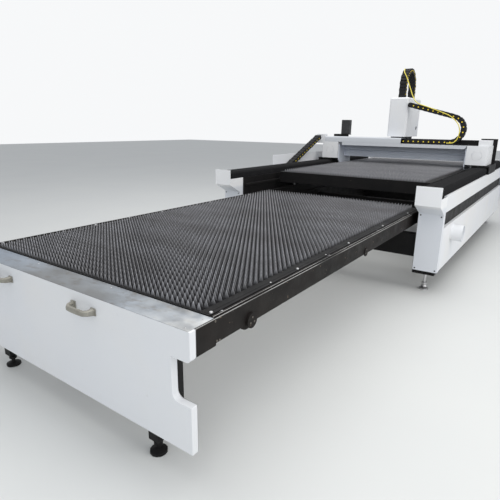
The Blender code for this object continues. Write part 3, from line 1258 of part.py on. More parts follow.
def drag_chain(name, route, centre, width, axis):
    half = width / 2
    shape = extrusion([chain_outline(route)], (centre - half, centre + half), axis)
    return piece(shape, name, CHAIN_PLASTIC)


def chain_tray():
    """White angle tray on the left of the bed that guards the Y chain."""
    inner = -COVER_OUTER - GAP
    floor = Y_CHAIN_RUN_LEVEL - CHAIN_HEIGHT / 2 - GAP
    low = floor - SHEET
    outline = [(-SIDE_REACH, low), (inner, low), (inner, floor + CHAIN_HEIGHT), (inner - SHEET, floor + CHAIN_HEIGHT),
               (inner - SHEET, floor), (SHEET - SIDE_REACH, floor), (SHEET - SIDE_REACH, TRAY_TOP),
               (-SIDE_REACH, TRAY_TOP)]
    return piece(extrusion([outline], (TRAY_FRONT, TRAY_BACK), "Y"), "chain_tray", WHITE_PAINT)


def chain_arm():
    """White block on the left end box that the Y chain ends on."""
    shape = box((-ARM_OUTER, -END_BOX_OUTER - GAP), (ARM_FRONT, ARM_BACK), (ARM_BOTTOM, ARM_TOP))
    return piece(shape, "chain_arm", WHITE_PAINT)


def drive_shaft():
    """Cross shaft with two sprockets that moves the pallets, with its origin on its axis."""
    end = GIRDER_INNER - GAP
    inner, outer = SPROCKET_CENTRE - SPROCKET_THICKNESS / 2, SPROCKET_CENTRE + SPROCKET_THICKNESS / 2
    hub_end = inner - SPROCKET_HUB_LENGTH
    half = [(DRIVE_SHAFT_RADIUS, hub_end), (SPROCKET_HUB_RADIUS, hub_end), (SPROCKET_HUB_RADIUS, inner),
            (SPROCKET_RADIUS, inner), (SPROCKET_RADIUS, outer), (DRIVE_SHAFT_RADIUS, outer),
            (DRIVE_SHAFT_RADIUS, end), (0, end)]
    profile = half[::-1] + [(radius, -height) for radius, height in half]
    shape = turned(profile, DRIVE_SIDES, (0, DRIVE_Y, DRIVE_Z), (0, RIGHT_ANGLE, 0))
    return piece(shape, "drive_shaft", WHEEL_STEEL)


def drive_gearmotor():
    """Gearbox around the shaft with its motor standing on it."""
    half = GEARBOX_DEPTH / 2
    gearbox = box((GEARBOX_LEFT, GEARBOX_LEFT + GEARBOX_WIDTH), (DRIVE_Y - half, DRIVE_Y + half),
                  (CROSS_BEAM_TOP + GAP, GEARBOX_TOP))
    centre_x = GEARBOX_LEFT + GEARBOX_WIDTH / 2
    motor = rod((centre_x, DRIVE_Y, GEARBOX_TOP + DRIVE_MOTOR_HEIGHT / 2 - SINK), "Z", DRIVE_MOTOR_HEIGHT,
                DRIVE_MOTOR_RADIUS, DRIVE_SIDES)
    bore = rod((centre_x, DRIVE_Y, DRIVE_Z), "X", GEARBOX_WIDTH + 2 * OVERRUN,
               DRIVE_SHAFT_RADIUS + WHEEL_BORE_CLEARANCE, DRIVE_SIDES)
    return piece(cut(fuse(gearbox, [motor]), [bore]), "drive_gearmotor", MOTOR_GREY)


def smooth_route(points, per_stretch):
    """Catmull-Rom curve through the points, as a denser list."""
    padded = [points[0]] + points + [points[-1]]
    route = []
    for p0, p1, p2, p3 in zip(padded, padded[1:], padded[2:], padded[3:]):
        for i in range(per_stretch):
            t = i / per_stretch
            route.append(tuple(
                0.5 * (2 * b + (c - a) * t + (2 * a - 5 * b + 4 * c - d) * t ** 2 + (3 * b - a - 3 * c + d) * t ** 3)
                for a, b, c, d in zip(p0, p1, p2, p3)))
    return route + [points[-1]]


def fibre_hose():
    """Yellow hose from the top of the Z chain to the X chain and along it into the trough."""
    route = smooth_route(HOSE_ROUTE, HOSE_POINTS_PER_STRETCH)
    return piece(tube(route, HOSE_RADIUS), "fibre_hose", HOSE_YELLOW)


for existing in list(bpy.data.objects):
    bpy.data.objects.remove(existing)

PARTS = new_collection("fiber_laser_cutting_machine")
CUTTERS = new_collection("cutters")
SIDES = ((-1, "left"), (1, "right"))

WHITE_PAINT = new_material("white_paint", (0.84, 0.85, 0.88), 0.42, 0)
BLACK_PAINT = new_material("black_paint", (0.025, 0.025, 0.028), 0.40, 0)
BEAM_GREY = new_material("beam_grey", (0.52, 0.57, 0.68), 0.45, 0)
GALVANISED = new_material("galvanised_steel", (0.62, 0.66, 0.70), 0.38, 0.9)
SLAT_STEEL = new_material("slat_steel", (0.07, 0.07, 0.078), 0.6, 0.3)
WHEEL_STEEL = new_material("bright_steel", (0.55, 0.55, 0.56), 0.35, 1)
BELLOWS_CLOTH = new_material("bellows_cloth", (0.02, 0.02, 0.022), 0.75, 0)
CHAIN_PLASTIC = new_material("chain_plastic", (0.03, 0.03, 0.032), 0.55, 0)
HOSE_YELLOW = new_material("hose_yellow", (0.85, 0.68, 0.05), 0.5, 0)
HANDLE_PAINT = new_material("handle_paint", (0.55, 0.52, 0.46), 0.5, 0)
MOTOR_GREY = new_material("motor_grey", (0.12, 0.12, 0.13), 0.5, 0)
COPPER = new_material("copper", (0.72, 0.38, 0.22), 0.3, 1)

front_panel()
front_plate()
table_frame()
piece(handle(HANDLE_LEFT_CENTRE), "handle_left", HANDLE_PAINT)
piece(handle(HANDLE_RIGHT_CENTRE), "handle_right", HANDLE_PAINT)
for side, side_name in SIDES:
    piece(table_beam(side), f"table_beam_{side_name}", BLACK_PAINT)

lower_wheels = pallet_wheels("lower", LOWER_PALLET_START, PALLET_HALF_WIDTH + WHEEL_SIDE_CLEARANCE,
                             LOWER_AXLE_Z, LOWER_WHEEL_RADIUS, WHEEL_SIDE_CLEARANCE + PALLET_SIDE_BAR - SINK)
upper_wheels = pallet_wheels("upper", UPPER_PALLET_START,
                             PALLET_HALF_WIDTH + HANGER_THICKNESS + HANGER_WHEEL_CLEARANCE,
                             UPPER_AXLE_Z, UPPER_WHEEL_RADIUS,
                             HANGER_WHEEL_CLEARANCE + HANGER_THICKNESS + 2 * SINK)
group("lower_pallet_slide", (0, LOWER_PALLET_START, LOWER_AXLE_Z), [lower_pallet()] + lower_wheels)
group("upper_pallet_slide", (0, UPPER_PALLET_START, UPPER_AXLE_Z), [upper_pallet()] + upper_wheels)

bed_frame()
drive_shaft()
drive_gearmotor()
for side, side_name in SIDES:
    piece(front_end_cover(side), f"end_cover_front_{side_name}", WHITE_PAINT)
    piece(rear_end_cover(side), f"end_cover_rear_{side_name}", WHITE_PAINT)
    piece(side_pan(side, (GIRDER_FRONT, GIRDER_BACK), (BAND_BOTTOM, BAND_TOP)), f"side_band_{side_name}",
          WHITE_PAINT)
    piece(side_pan(side, (GIRDER_FRONT, GIRDER_BACK), (SIDE_PANEL_BOTTOM, SIDE_PANEL_TOP)),
          f"side_panel_{side_name}", WHITE_PAINT)
    piece(bellows(side, COVER_FRONT + SHEET + GAP, CARRIAGE_FRONT - GAP), f"bellows_front_{side_name}",
          BELLOWS_CLOTH)
    piece(bellows(side, CARRIAGE_BACK + GAP, GIRDER_BACK - GAP), f"bellows_rear_{side_name}", BELLOWS_CLOTH)
    foot_places = {"front": GIRDER_FRONT + BED_FOOT_END_MARGIN, "rear": GIRDER_BACK - BED_FOOT_END_MARGIN}
    for end, y in foot_places.items():
        piece(foot((side * BED_FOOT_X, y, 0), GIRDER_BOTTOM - GAP), f"bed_foot_{end}_{side_name}", WHEEL_STEEL)
duct_stub()
chain_tray()

gantry = [gantry_beam(), beam_skirt(), top_cover(), chain_trough(), junction_box(), motor_bracket_right(),
          motor_bracket_left(), drive_motor_left(), chain_arm(),
          drag_chain("y_chain", y_chain_route(), Y_CHAIN_CENTRE, CHAIN_WIDTH, "X")]
for side, side_name in SIDES:
    gantry.append(piece(carriage(side), f"carriage_{side_name}", BEAM_GREY))
    gantry.append(piece(end_box(side), f"end_box_{side_name}", WHITE_PAINT))
head = [head_carriage(), head_cover(),
        drag_chain("x_chain", x_chain_route(), X_CHAIN_CENTRE, CHAIN_WIDTH, "Y"), fibre_hose()]
slide = [z_slide(), cutting_head(), nozzle(),
         drag_chain("z_chain", z_chain_route(), HEAD_CENTRE, Z_CHAIN_WIDTH, "X")]
group("gantry_slide", (0, BEAM_FRONT, BEAM_BOTTOM), gantry)
group("head_slide", (HEAD_CENTRE, HEAD_PLATE_FRONT, BEAM_TOP), head)
group("z_axis_slide", (HEAD_CENTRE, CUTTER_Y, NOZZLE_TIP), slide)

machine = group("machine", (0, 0, 0), [obj for obj in PARTS.objects if obj.parent is None])
machine.location = (0, -MACHINE_MIDDLE, 0)
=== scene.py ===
"""Looks of the fiber laser cutting machine: finishes, slats, chain links, bellows, hose and fittings."""
import math

import bmesh
import bpy
from mathutils import Matrix, Vector


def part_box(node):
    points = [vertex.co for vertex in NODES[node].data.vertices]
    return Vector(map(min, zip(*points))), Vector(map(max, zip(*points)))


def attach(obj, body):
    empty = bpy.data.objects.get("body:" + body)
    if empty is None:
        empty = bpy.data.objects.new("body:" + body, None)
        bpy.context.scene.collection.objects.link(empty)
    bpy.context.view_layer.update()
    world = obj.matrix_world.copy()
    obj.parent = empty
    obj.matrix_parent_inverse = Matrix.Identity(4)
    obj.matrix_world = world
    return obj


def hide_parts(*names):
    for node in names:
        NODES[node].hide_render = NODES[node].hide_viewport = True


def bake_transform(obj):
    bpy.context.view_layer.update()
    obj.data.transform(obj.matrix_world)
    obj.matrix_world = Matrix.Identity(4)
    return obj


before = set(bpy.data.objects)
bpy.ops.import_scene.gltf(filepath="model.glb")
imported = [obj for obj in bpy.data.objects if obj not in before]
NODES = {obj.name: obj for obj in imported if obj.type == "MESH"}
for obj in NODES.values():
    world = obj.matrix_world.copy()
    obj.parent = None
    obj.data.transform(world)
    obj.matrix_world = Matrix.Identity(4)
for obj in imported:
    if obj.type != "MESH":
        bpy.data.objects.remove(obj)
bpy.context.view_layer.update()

# Lengths in metres. Y is counted from the face of the front panel and moved to the row frame by along().
PANEL_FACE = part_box("front_panel")[0].y
SIDES = (-1, 1)
SIDE_NAMES = ("left", "right")
ENDS = ("front", "rear")
UP = (0, 0, 1)
FORWARD = (0, -1, 0)

# Camera that looks from the photograph's place
CAMERA_PLACE = (1.8907, -4.3293, 1.4007)
CAMERA_RIGHT = (0.81560794, 0.57848585, 0.01173931)
CAMERA_UP = (-0.16665571, 0.21544221, 0.96219049)
CAMERA_LENS = 31.544
CAMERA_SENSOR = 36
CAMERA_REACH = 100

# Studio: name, place, target, size, power and colour of each area light
LIGHTS = (
    ("overhead", (0.5, -0.5, 5.5), (0, 0, 0.6), (7.0, 9.0), 312, (1.0, 0.985, 0.96)),
    ("front_fill", (3.5, -7.0, 3.2), (0, -1.0, 0.5), (4.0, 3.0), 70, (0.93, 0.97, 1.0)),
    ("right_side", (6.0, -1.0, 3.0), (0.5, 0, 0.7), (5.0, 3.0), 90, (1.0, 0.97, 0.92)),
)
ROOM_COLOUR, ROOM_STRENGTH = (0.93, 0.96, 1.0, 1), 0.62
BACKDROP_COLOUR, BACKDROP_STRENGTH = (0.93, 0.94, 0.95, 1), 1.0
FLOOR_HALF = 30
FLOOR_THICKNESS = 0.02

# Colour sockets of the Mix node
MIX_A, MIX_B, MIX_RESULT = 6, 7, 2

# Number of each material in a piece that has several
SLATS, BARS, FASTENERS = 0, 1, 2
LINKS, PINS = 0, 1
CAPS, CAP_FASTENERS = 0, 1

# Angles in degrees above which shading breaks at an edge
SHARP_ANGLE = 32
FOLD_SHARP_ANGLE = 20
HANDLE_SHARP_ANGLE = 40
HOSE_SHARP_ANGLE = 60

# Rounding of sharp edges
WELD_DISTANCE = 0.00002
FLAT_ANGLE = 0.5
BEVEL_ANGLE = 35
BEVEL_SEGMENTS = 2

# Bolts and screws: how deep fittings are set in, heights above the face, and shares of the head's radius
SINK = 0.001
WASHER_HEIGHT, WASHER_TOP = 0.0015, 0.0017
WASHER_RADIUS, WASHER_EDGE = 1.6, 1.45
WASHER_SIDES = 16
BOLT_BASE = 0.001
BOLT_CROWN_HEIGHT, BOLT_CROWN = 0.001, 0.78
BOLT_SIDES = 6
SCREW_PROFILE = ((0.25, 1), (0.55, 0.72), (0.62, 0.45), (0.25, 0.40))
SCREW_SIDES = 12

# Pallets
PALLET_HALF_WIDTH = 0.856
PALLET_LENGTH = 2.984
SIDE_BAR = 0.020
END_BAR = 0.014
BAR_CHAMFER = 0.002
RIM_WIDTH = 0.054
RIM_THICKNESS = 0.004
FRAME_HEIGHT = 0.120
LOWER_START, LOWER_TOP = 0.150, 0.688
UPPER_START, UPPER_TOP = 3.448, 0.889
SLAT_RISE = 0.030
SLAT_DEPTH = 0.095
TOOTH = 0.045
SLAT_THICKNESS = 0.002
SLAT_COUNT = 67
TEETH = 54
TOOTH_SHOULDER = 0.29
SLAT_SEAT = 0.004
FIRST_SLAT = 0.005
SUPPORT_BAR_X = 0.290
SUPPORT_BAR_WIDTH = 0.030
SUPPORT_BAR_GAP = 0.006
SUPPORT_BAR_LIFT = 0.002
WHEEL_OFFSET = 0.400

# Domed bolts on the lower pallet: distance behind its front edge and size
DOME_BOLTS = ((0.025, 1), (0.46, 0.55), (0.718, 0.9), (1.05, 0.5), (1.38, 0.8), (2.02, 0.8), (2.66, 0.8))
DOME_RADIUS = 0.009
DOME_RIM = 0.002
DOME_SHOULDER = (0.006, 0.007)
DOME_CROWN = (0.0075, 0.003)
DOME_SIDES = 14

# Hangers of the upper wheels, measured from the pallet's top, the axle and the pallet's side
HANGER_HALF_WIDTH = 0.040
HANGER_TOE = 0.018
HANGER_TOP = 0.090
HANGER_KNEE = 0.010
HANGER_FOOT = 0.020
HANGER_SINK = 0.002
HANGER_PROUD = 0.005
HANGER_BOLT_DROP = 0.105
HANGER_BOLT_OFFSET = 0.026
HANGER_BOLT_RADIUS = 0.005
HANGER_BOLT_HEIGHT = 0.003

# Drag chains. Cables are given as place across the chain, as a share of its width, and radius.
CHAIN_HEIGHT = 0.060
CHAIN_WIDTH = 0.080
Z_CHAIN_WIDTH = 0.090
LINK_PITCH = 0.066
Z_LINK_PITCH = 0.042
CABLES = [(-0.30, 0.009), (-0.08, 0.012), (0.18, 0.010), (0.34, 0.007)]
CABLE_SIDES = 8
BEND_STEPS = 16
Z_BEND_STEPS = 20

# Chain links. Shares are of the link's length, its reach or its half height.
LINK_REACH = 0.62
LINK_WAIST = 0.90
LINK_END = 0.55
LINK_SHOULDER = 0.72
LINK_TAIL = 0.35
LINK_NOSE = 0.45
LINK_INSET = 0.0035
LINK_PLATE = 0.006
PIN_RADIUS = 0.0085
PIN_PROUD = 0.0012
PIN_SIDES = 12
CROSS_BAR_REACH = 0.42
Z_CROSS_BAR_REACH = 0.47
CROSS_BAR_FLAT = 0.8
CROSS_BAR_LEVELS = (0.010, 0.004, 0.001)
CROSS_BAR_MARGIN = 0.004

# X chain, seen along Y: plane, lower run, bend and end on the head
X_CHAIN_PLANE = 5.182
X_CHAIN_START = (0.050, 1.2291)
X_CHAIN_BEND_X = 0.620
X_CHAIN_RADIUS = 0.160
X_CHAIN_HEAD = (0.072, 1.700)

# Y chain, seen along X: plane, lower run, bend and end on the gantry
Y_CHAIN_PLANE = -1.197
Y_CHAIN_START = (5.000, 0.700)
Y_CHAIN_BEND = (4.280, 0.800)
Y_CHAIN_RADIUS = 0.100
Y_CHAIN_GANTRY = (5.0897, 1.262)

# Z chain, seen along X: plane, end on the hood, bend and end on the slide
Z_CHAIN_PLANE = -0.067
Z_CHAIN_START = (5.285, 1.7953)
Z_CHAIN_BEND = (5.487, 1.9555)
Z_CHAIN_RADIUS = 0.202
Z_CHAIN_END = (5.689, 1.6953)

# Bellows
FOLD_PITCH = 0.030
FOLD_DEPTH = 0.011
FOLD_CORNER = 0.016
BELLOWS_CLOTH_THICKNESS = 0.003

# Hose from the top of the head chain to the trough
HOSE_RADIUS = 0.0055
HOSE_SIDES = 16
HOSE_STEPS = 8
HOSE_ROUTE = [
    (-0.100, 5.380, 2.172), (-0.078, 5.306, 2.138), (-0.052, 5.243, 2.105), (-0.017, 5.230, 2.051),
    (0.043, 5.215, 1.922), (0.105, 5.185, 1.800), (0.184, 5.1355, 1.717), (0.329, 5.1355, 1.663),
    (0.478, 5.1355, 1.608), (0.610, 5.1355, 1.549), (0.703, 5.1355, 1.465), (0.737, 5.1355, 1.374),
    (0.722, 5.1355, 1.276), (0.685, 5.1355, 1.231), (0.640, 5.1355, 1.2214), (0.600, 5.1355, 1.2208),
]

# Handles. A row of the bow is the distance from its end, a share of the reach and an offset outwards, the
# half thickness and the half height. The section's corners are shares of the last two.
HANDLE_END = 0.012
HANDLE_BOW = ((0, 0, 0, 0.012, 0.017), (0, 0, 0.006, 0.012, 0.016), (0.004, 0.55, 0, 0.010, 0.013),
              (0.020, 1, -0.011, 0.0095, 0.012), (0.045, 1, -0.009, 0.009, 0.0125))
HANDLE_SECTION = ((-1, -0.6), (-0.6, -1), (0.6, -1), (1, -0.6), (1, 0.6), (0.6, 1), (-0.6, 1), (-1, 0.6))
HANDLE_FOOT_HALF = 0.016
HANDLE_FOOT_THICKNESS = 0.006
HANDLE_FOOT_HEIGHT = 0.017
HANDLE_EDGE = 0.0012

# Screws on the plate, as X and Y, and bolts on the table beams
PLATE_SCREWS = ((0.854, 0.018), (0.861, 0.1095), (-0.854, 0.018), (-0.861, 0.1095), (0.30, 0.118),
                (-0.30, 0.118))
PLATE_SCREW_RADIUS = 0.0045
BEAM_BOLTS = (0.215, 1.20, 2.00, 2.60)
BEAM_BOLT_X, BEAM_BOLT_Z = 0.870, 0.6842
BEAM_BOLT_RADIUS, BEAM_BOLT_HEIGHT = 0.0065, 0.005

# Idler caps and the small bolts behind the end doubler, as Y and Z
CAP_PROUD = 0.012
FRONT_CAP_Y, FRONT_CAP_Z = 0.385, 0.592
REAR_CAP_Y, REAR_CAP_Z = 1.733, 0.592
REAR_CAP_HEIGHT = 0.007
REAR_CAP_PROFILE = [(-SINK, 0.030), (0.005, 0.030), (REAR_CAP_HEIGHT, 0.027)]
CAP_SIDES = 28
CAP_SCREWS = 3
CAP_SCREW_CIRCLE = 0.016
CAP_SCREW_RADIUS = 0.0045
DOUBLER_PROUD = 0.001
DOUBLER_BOLTS = ((0.1567, 0.5865), (0.1740, 0.5835), (0.1480, 0.6735))
DOUBLER_BOLT_RADIUS = 0.0050

# Screws on the front covers and the nuts and collars of the feet
COLUMN_FACE = 2.775
COLUMN_TOP = 0.694
SCREW_MARGIN = 0.018
COVER_SCREW_RADIUS = 0.0065
FOOT_NUT_LEVEL = 0.046
FOOT_NUT_PROFILE = [(0, 0.020), (0.002, 0.024), (0.020, 0.024), (0.022, 0.020)]
FOOT_COLLAR_PROFILE = [(-0.018, 0.027), (-0.004, 0.016), (0.001, 0.016)]
FOOT_COLLAR_SIDES = 16

# Vent grilles
GRILLE_RADIUS = 0.056
GRILLE_SIDES = 32
GRILLE_RIM = [(-0.0004, GRILLE_RADIUS), (0.0016, GRILLE_RADIUS), (0.0020, GRILLE_RADIUS - 0.003)]
GRILLE_PITCH = 0.005
GRILLE_GROOVE = 0.0006
GRILLE_RING = 0.0014
GRILLE_RING_EDGES = (0.002, 0.004)
GRILLE_CORE = 0.008
GRILLE_HUB = (0.0010, 0.002)

# Latch on the hood: plate and lever, as ranges from its place
LATCH_PLACE = (0.058, 5.64, 1.402)
LATCH_PLATE = ((0, 0.006), (-0.010, 0.010), (-0.022, 0.022))
LATCH_LEVER = ((0.004, 0.010), (-0.006, 0.006), (-0.006, 0.016))
LATCH_CHAMFER = 0.002
LATCH_EDGE = 0.0008


def along(y):
    """Row frame Y of a distance behind the face of the front panel."""
    return PANEL_FACE + y


class Finish:
    """A Principled material whose colour, roughness and bump come from noise in object space."""

    def __init__(self, name, colour, roughness, metallic=0.0, **sockets):
        self.material = bpy.data.materials.new(name)
        self.material.use_nodes = True
        self.nodes = self.material.node_tree.nodes
        self.links = self.material.node_tree.links
        self.shader = self.nodes["Principled BSDF"]
        self.shader.inputs["Base Color"].default_value = (*colour, 1)
        self.shader.inputs["Roughness"].default_value = roughness
        self.shader.inputs["Metallic"].default_value = metallic
        for socket, value in sockets.items():
            self.shader.inputs[socket.replace("_", " ").title().replace("Ior", "IOR")].default_value = value
        self.roughness = roughness
        self.colour = None
        self.base = (*colour, 1)
        self.place = self.nodes.new("ShaderNodeTexCoord").outputs["Object"]

    def field(self, scale, low, high, stretch=(1, 1, 1), detail=3, kind="noise", offset=(0, 0, 0)):
        """Noise of about 1 / scale metres, or one value for each cell, spread from 0 at low to 1 at high."""
        mapping = self.nodes.new("ShaderNodeMapping")
        mapping.inputs["Scale"].default_value = stretch
        mapping.inputs["Location"].default_value = offset
        self.links.new(self.place, mapping.inputs["Vector"])
        if kind == "noise":
            texture = self.nodes.new("ShaderNodeTexNoise")
            texture.inputs["Detail"].default_value = detail
            output = texture.outputs["Fac"]
        else:
            texture = self.nodes.new("ShaderNodeTexVoronoi")
            separate = self.nodes.new("ShaderNodeSeparateColor")
            self.links.new(texture.outputs["Color"], separate.inputs["Color"])
            output = separate.outputs["Red"]
        texture.inputs["Scale"].default_value = scale
        self.links.new(mapping.outputs["Vector"], texture.inputs["Vector"])
        return self.spread(output, low, high)

    def spread(self, source, low, high):
        """Clamped ramp from 0 where the source is low to 1 where it is high."""
        node = self.nodes.new("ShaderNodeMapRange")
        node.inputs["From Min"].default_value = low
        node.inputs["From Max"].default_value = high
        self.links.new(source, node.inputs["Value"])
        return node.outputs["Result"]

    def level(self, axis, low, high):
        """Ramp from 0 to 1 along one axis of object space."""
        separate = self.nodes.new("ShaderNodeSeparateXYZ")
        self.links.new(self.place, separate.inputs["Vector"])
        return self.spread(separate.outputs[axis], low, high)

    def times(self, first, second):
        """Product of a mask and a number or another mask."""
        node = self.nodes.new("ShaderNodeMath")
        node.operation = "MULTIPLY"
        self.links.new(first, node.inputs[0])
        if isinstance(second, (int, float)):
            node.inputs[1].default_value = second
        else:
            self.links.new(second, node.inputs[1])
        return node.outputs["Value"]

    def tint(self, mask, colour, strength):
        """Mixes a colour in where the mask is high."""
        mix = self.nodes.new("ShaderNodeMix")
        mix.data_type = "RGBA"
        self.links.new(self.times(mask, strength), mix.inputs["Factor"])
        if self.colour is None:
            mix.inputs[MIX_A].default_value = self.base
        else:
            self.links.new(self.colour, mix.inputs[MIX_A])
        mix.inputs[MIX_B].default_value = (*colour, 1)
        self.colour = mix.outputs[MIX_RESULT]
        self.links.new(self.colour, self.shader.inputs["Base Color"])

    def rough(self, mask, value):
        """Roughness goes from its base to value with the mask."""
        node = self.nodes.new("ShaderNodeMapRange")
        node.inputs["To Min"].default_value = self.roughness
        node.inputs["To Max"].default_value = value
        self.links.new(mask, node.inputs["Value"])
        self.links.new(node.outputs["Result"], self.shader.inputs["Roughness"])

    def bump(self, height_field, depth):
        """Relief of this depth."""
        node = self.nodes.new("ShaderNodeBump")
        node.inputs["Distance"].default_value = depth
        node.inputs["Strength"].default_value = 1.0
        self.links.new(height_field, node.inputs["Height"])
        self.links.new(node.outputs["Normal"], self.shader.inputs["Normal"])


def white_coats():
    """Powder coat of the sheet covers: cool and warm patches, fine dirt and the coat's grain. The end
    covers' copy adds painted shade: darker and bluer below about 0.77 m, under the covers' upper part.
    """
    white = Finish("white_powder_coat", (0.78, 0.79, 0.81), 0.40)
    white.tint(white.field(1.3, 0.40, 0.70), (0.70, 0.735, 0.80), 0.35)
    white.tint(white.field(2.1, 0.52, 0.75, offset=(3, 1, 2)), (0.80, 0.77, 0.72), 0.30)
    white.tint(white.field(38, 0.68, 0.80, detail=6), (0.45, 0.43, 0.40), 0.16)
    white.rough(white.field(7, 0.3, 0.7), 0.52)
    white.bump(white.field(650, 0.2, 0.8, detail=1), 0.00012)

    cover = Finish("white_cover_coat_painted_shade", (0.87, 0.875, 0.885), 0.36)
    cover.tint(cover.field(1.7, 0.40, 0.70), (0.80, 0.82, 0.86), 0.35)
    # Painted shade: the end covers turn darker and bluer below about 0.77 m, under their upper part.
    cover.tint(cover.level("Z", 0.79, 0.76), (0.66, 0.69, 0.745), 0.75)
    cover.tint(cover.field(42, 0.69, 0.80, detail=6), (0.45, 0.43, 0.40), 0.16)
    cover.rough(cover.field(8, 0.3, 0.7), 0.48)
    cover.bump(cover.field(650, 0.2, 0.8, detail=1), 0.00012)

    top = Finish("white_beam_coat", (0.61, 0.63, 0.665), 0.40)
    top.tint(top.field(1.9, 0.40, 0.70), (0.56, 0.59, 0.64), 0.4)
    top.tint(top.field(40, 0.68, 0.80, detail=6), (0.42, 0.41, 0.39), 0.16)
    top.rough(top.field(8, 0.3, 0.7), 0.54)
    top.bump(top.field(650, 0.2, 0.8, detail=1), 0.00012)
    return {"white": white, "cover_white_painted_shade": cover, "beam_white": top}


def galvanised_sheet():
    """Zinc cells under grey and brown tarnish, darker to the left, with a painted reflection that pales the
    sheet towards the right end.
    """
    plate = Finish("galvanised_sheet", (0.44, 0.49, 0.55), 0.34, 0.75)
    plate.tint(plate.field(70, 0.0, 1.0, kind="cells"), (0.54, 0.58, 0.64), 0.35)
    plate.tint(plate.field(3.1, 0.42, 0.62, stretch=(1, 1.6, 1), detail=5), (0.225, 0.225, 0.222), 0.75)
    plate.tint(plate.field(17, 0.54, 0.70, stretch=(1, 1.8, 1), detail=6), (0.19, 0.15, 0.11), 0.5)
    tarnish = plate.times(plate.level("X", 0.62, 0.20), plate.level("X", -0.55, -0.10))
    plate.tint(tarnish, (0.205, 0.198, 0.185), 0.55)
    plate.tint(plate.level("X", -0.15, -0.60), (0.27, 0.31, 0.37), 0.6)
    # Painted reflection: a pale, patchy area towards the right end of the sheet.
    painted_reflection = plate.times(plate.level("X", 0.50, 0.86), plate.field(9, 0.30, 0.62, detail=4))
    plate.tint(painted_reflection, (0.80, 0.80, 0.78), 0.75)
    plate.rough(plate.field(9, 0.35, 0.7, detail=5), 0.56)
    plate.bump(plate.field(3.2, 0.2, 0.8, detail=2), 0.0012)
    return {"galvanised": plate}


def black_paints():
    """Satin black with small chips, and the table beams' paint, which is worn along its top edges."""
    black = Finish("satin_black_paint", (0.0070, 0.0067, 0.0071), 0.46, specular_ior_level=0.18)
    black.tint(black.field(6, 0.40, 0.72, detail=4), (0.014, 0.0125, 0.012), 0.65)
    black.tint(black.field(90, 0.71, 0.76, detail=5), (0.20, 0.17, 0.14), 0.7)
    black.rough(black.field(11, 0.3, 0.7, detail=4), 0.60)
    black.bump(black.field(420, 0.2, 0.8, detail=2), 0.0002)

    beam = Finish("chipped_black_paint", (0.0085, 0.0074, 0.0071), 0.48, specular_ior_level=0.16)
    beam.tint(beam.field(4, 0.42, 0.72, detail=5), (0.020, 0.0155, 0.0135), 0.75)
    edge = beam.times(beam.level("Z", 0.668, 0.684), beam.field(60, 0.62, 0.67, detail=5))
    beam.tint(edge, (0.42, 0.40, 0.37), 0.28)
    for low, high, strength in ((0.8868, 0.8884, 0.75), (0.8778, 0.8784, 0.95)):
        line = beam.times(beam.level("X", low, high), beam.level("X", high + 0.0022, high + 0.0008))
        worn = beam.times(line, beam.field(2.2, 0.30, 0.52, stretch=(1, 1, 0), detail=2))
        beam.tint(beam.times(worn, beam.level("Z", 0.680, 0.6835)), (0.62, 0.61, 0.60), strength)
    beam.tint(beam.field(75, 0.70, 0.735, detail=6), (0.30, 0.22, 0.15), 0.8)
    beam.rough(beam.field(14, 0.3, 0.7, detail=4), 0.64)
    beam.bump(beam.field(260, 0.2, 0.8, detail=3), 0.00035)
    return {"black": black, "beam_black": beam}


def slat_steels():
    """Used slats: painted highlight on the tips over painted shade on the bases, with a tone that changes
    from tooth to tooth.
    """
    made = {}
    for name, tip in (("low_slat_painted_light", LOWER_TOP + SLAT_RISE), ("high_slat_painted_light", UPPER_TOP + SLAT_RISE)):
        slat = Finish(name, (0.52, 0.52, 0.55), 0.48, 0.15)
        slat.tint(slat.field(2.6, 0.40, 0.66, detail=4, stretch=(0.5, 1.8, 1)), (0.285, 0.275, 0.275), 0.7)
        slat.tint(slat.field(33, 0.58, 0.75, detail=4), (0.30, 0.275, 0.245), 0.5)
        slat.tint(slat.field(31, 0.0, 1.0, kind="cells"), (0.27, 0.265, 0.27), 0.55)
        slat.tint(slat.field(120, 0.40, 0.80, detail=2), (0.54, 0.54, 0.57), 0.35)
        if name == "high_slat_painted_light":
            slat.tint(slat.field(0.9, 0.0, 0.3), (0.36, 0.365, 0.39), 0.45)
        # Painted shade: each slat darkens from just under its tip towards its base, which leaves a painted
        # highlight on the tips.
        slat.tint(slat.level("Z", tip - 0.003, tip - 0.040), (0.030, 0.029, 0.031), 0.95)
        slat.rough(slat.field(50, 0.3, 0.7), 0.68)
        slat.bump(slat.field(700, 0.2, 0.8, detail=2), 0.0001)
        made[name] = slat
    return made


def grey_paint():
    """Light grey of the beam and the slide."""
    grey = Finish("light_grey_paint", (0.62, 0.66, 0.74), 0.38)
    grey.tint(grey.field(2.4, 0.38, 0.70), (0.68, 0.71, 0.77), 0.5)
    grey.tint(grey.field(45, 0.66, 0.78, detail=5), (0.24, 0.24, 0.25), 0.3)
    grey.rough(grey.field(9, 0.3, 0.7), 0.55)
    grey.bump(grey.field(600, 0.2, 0.8, detail=1), 0.00012)
    return {"grey": grey}


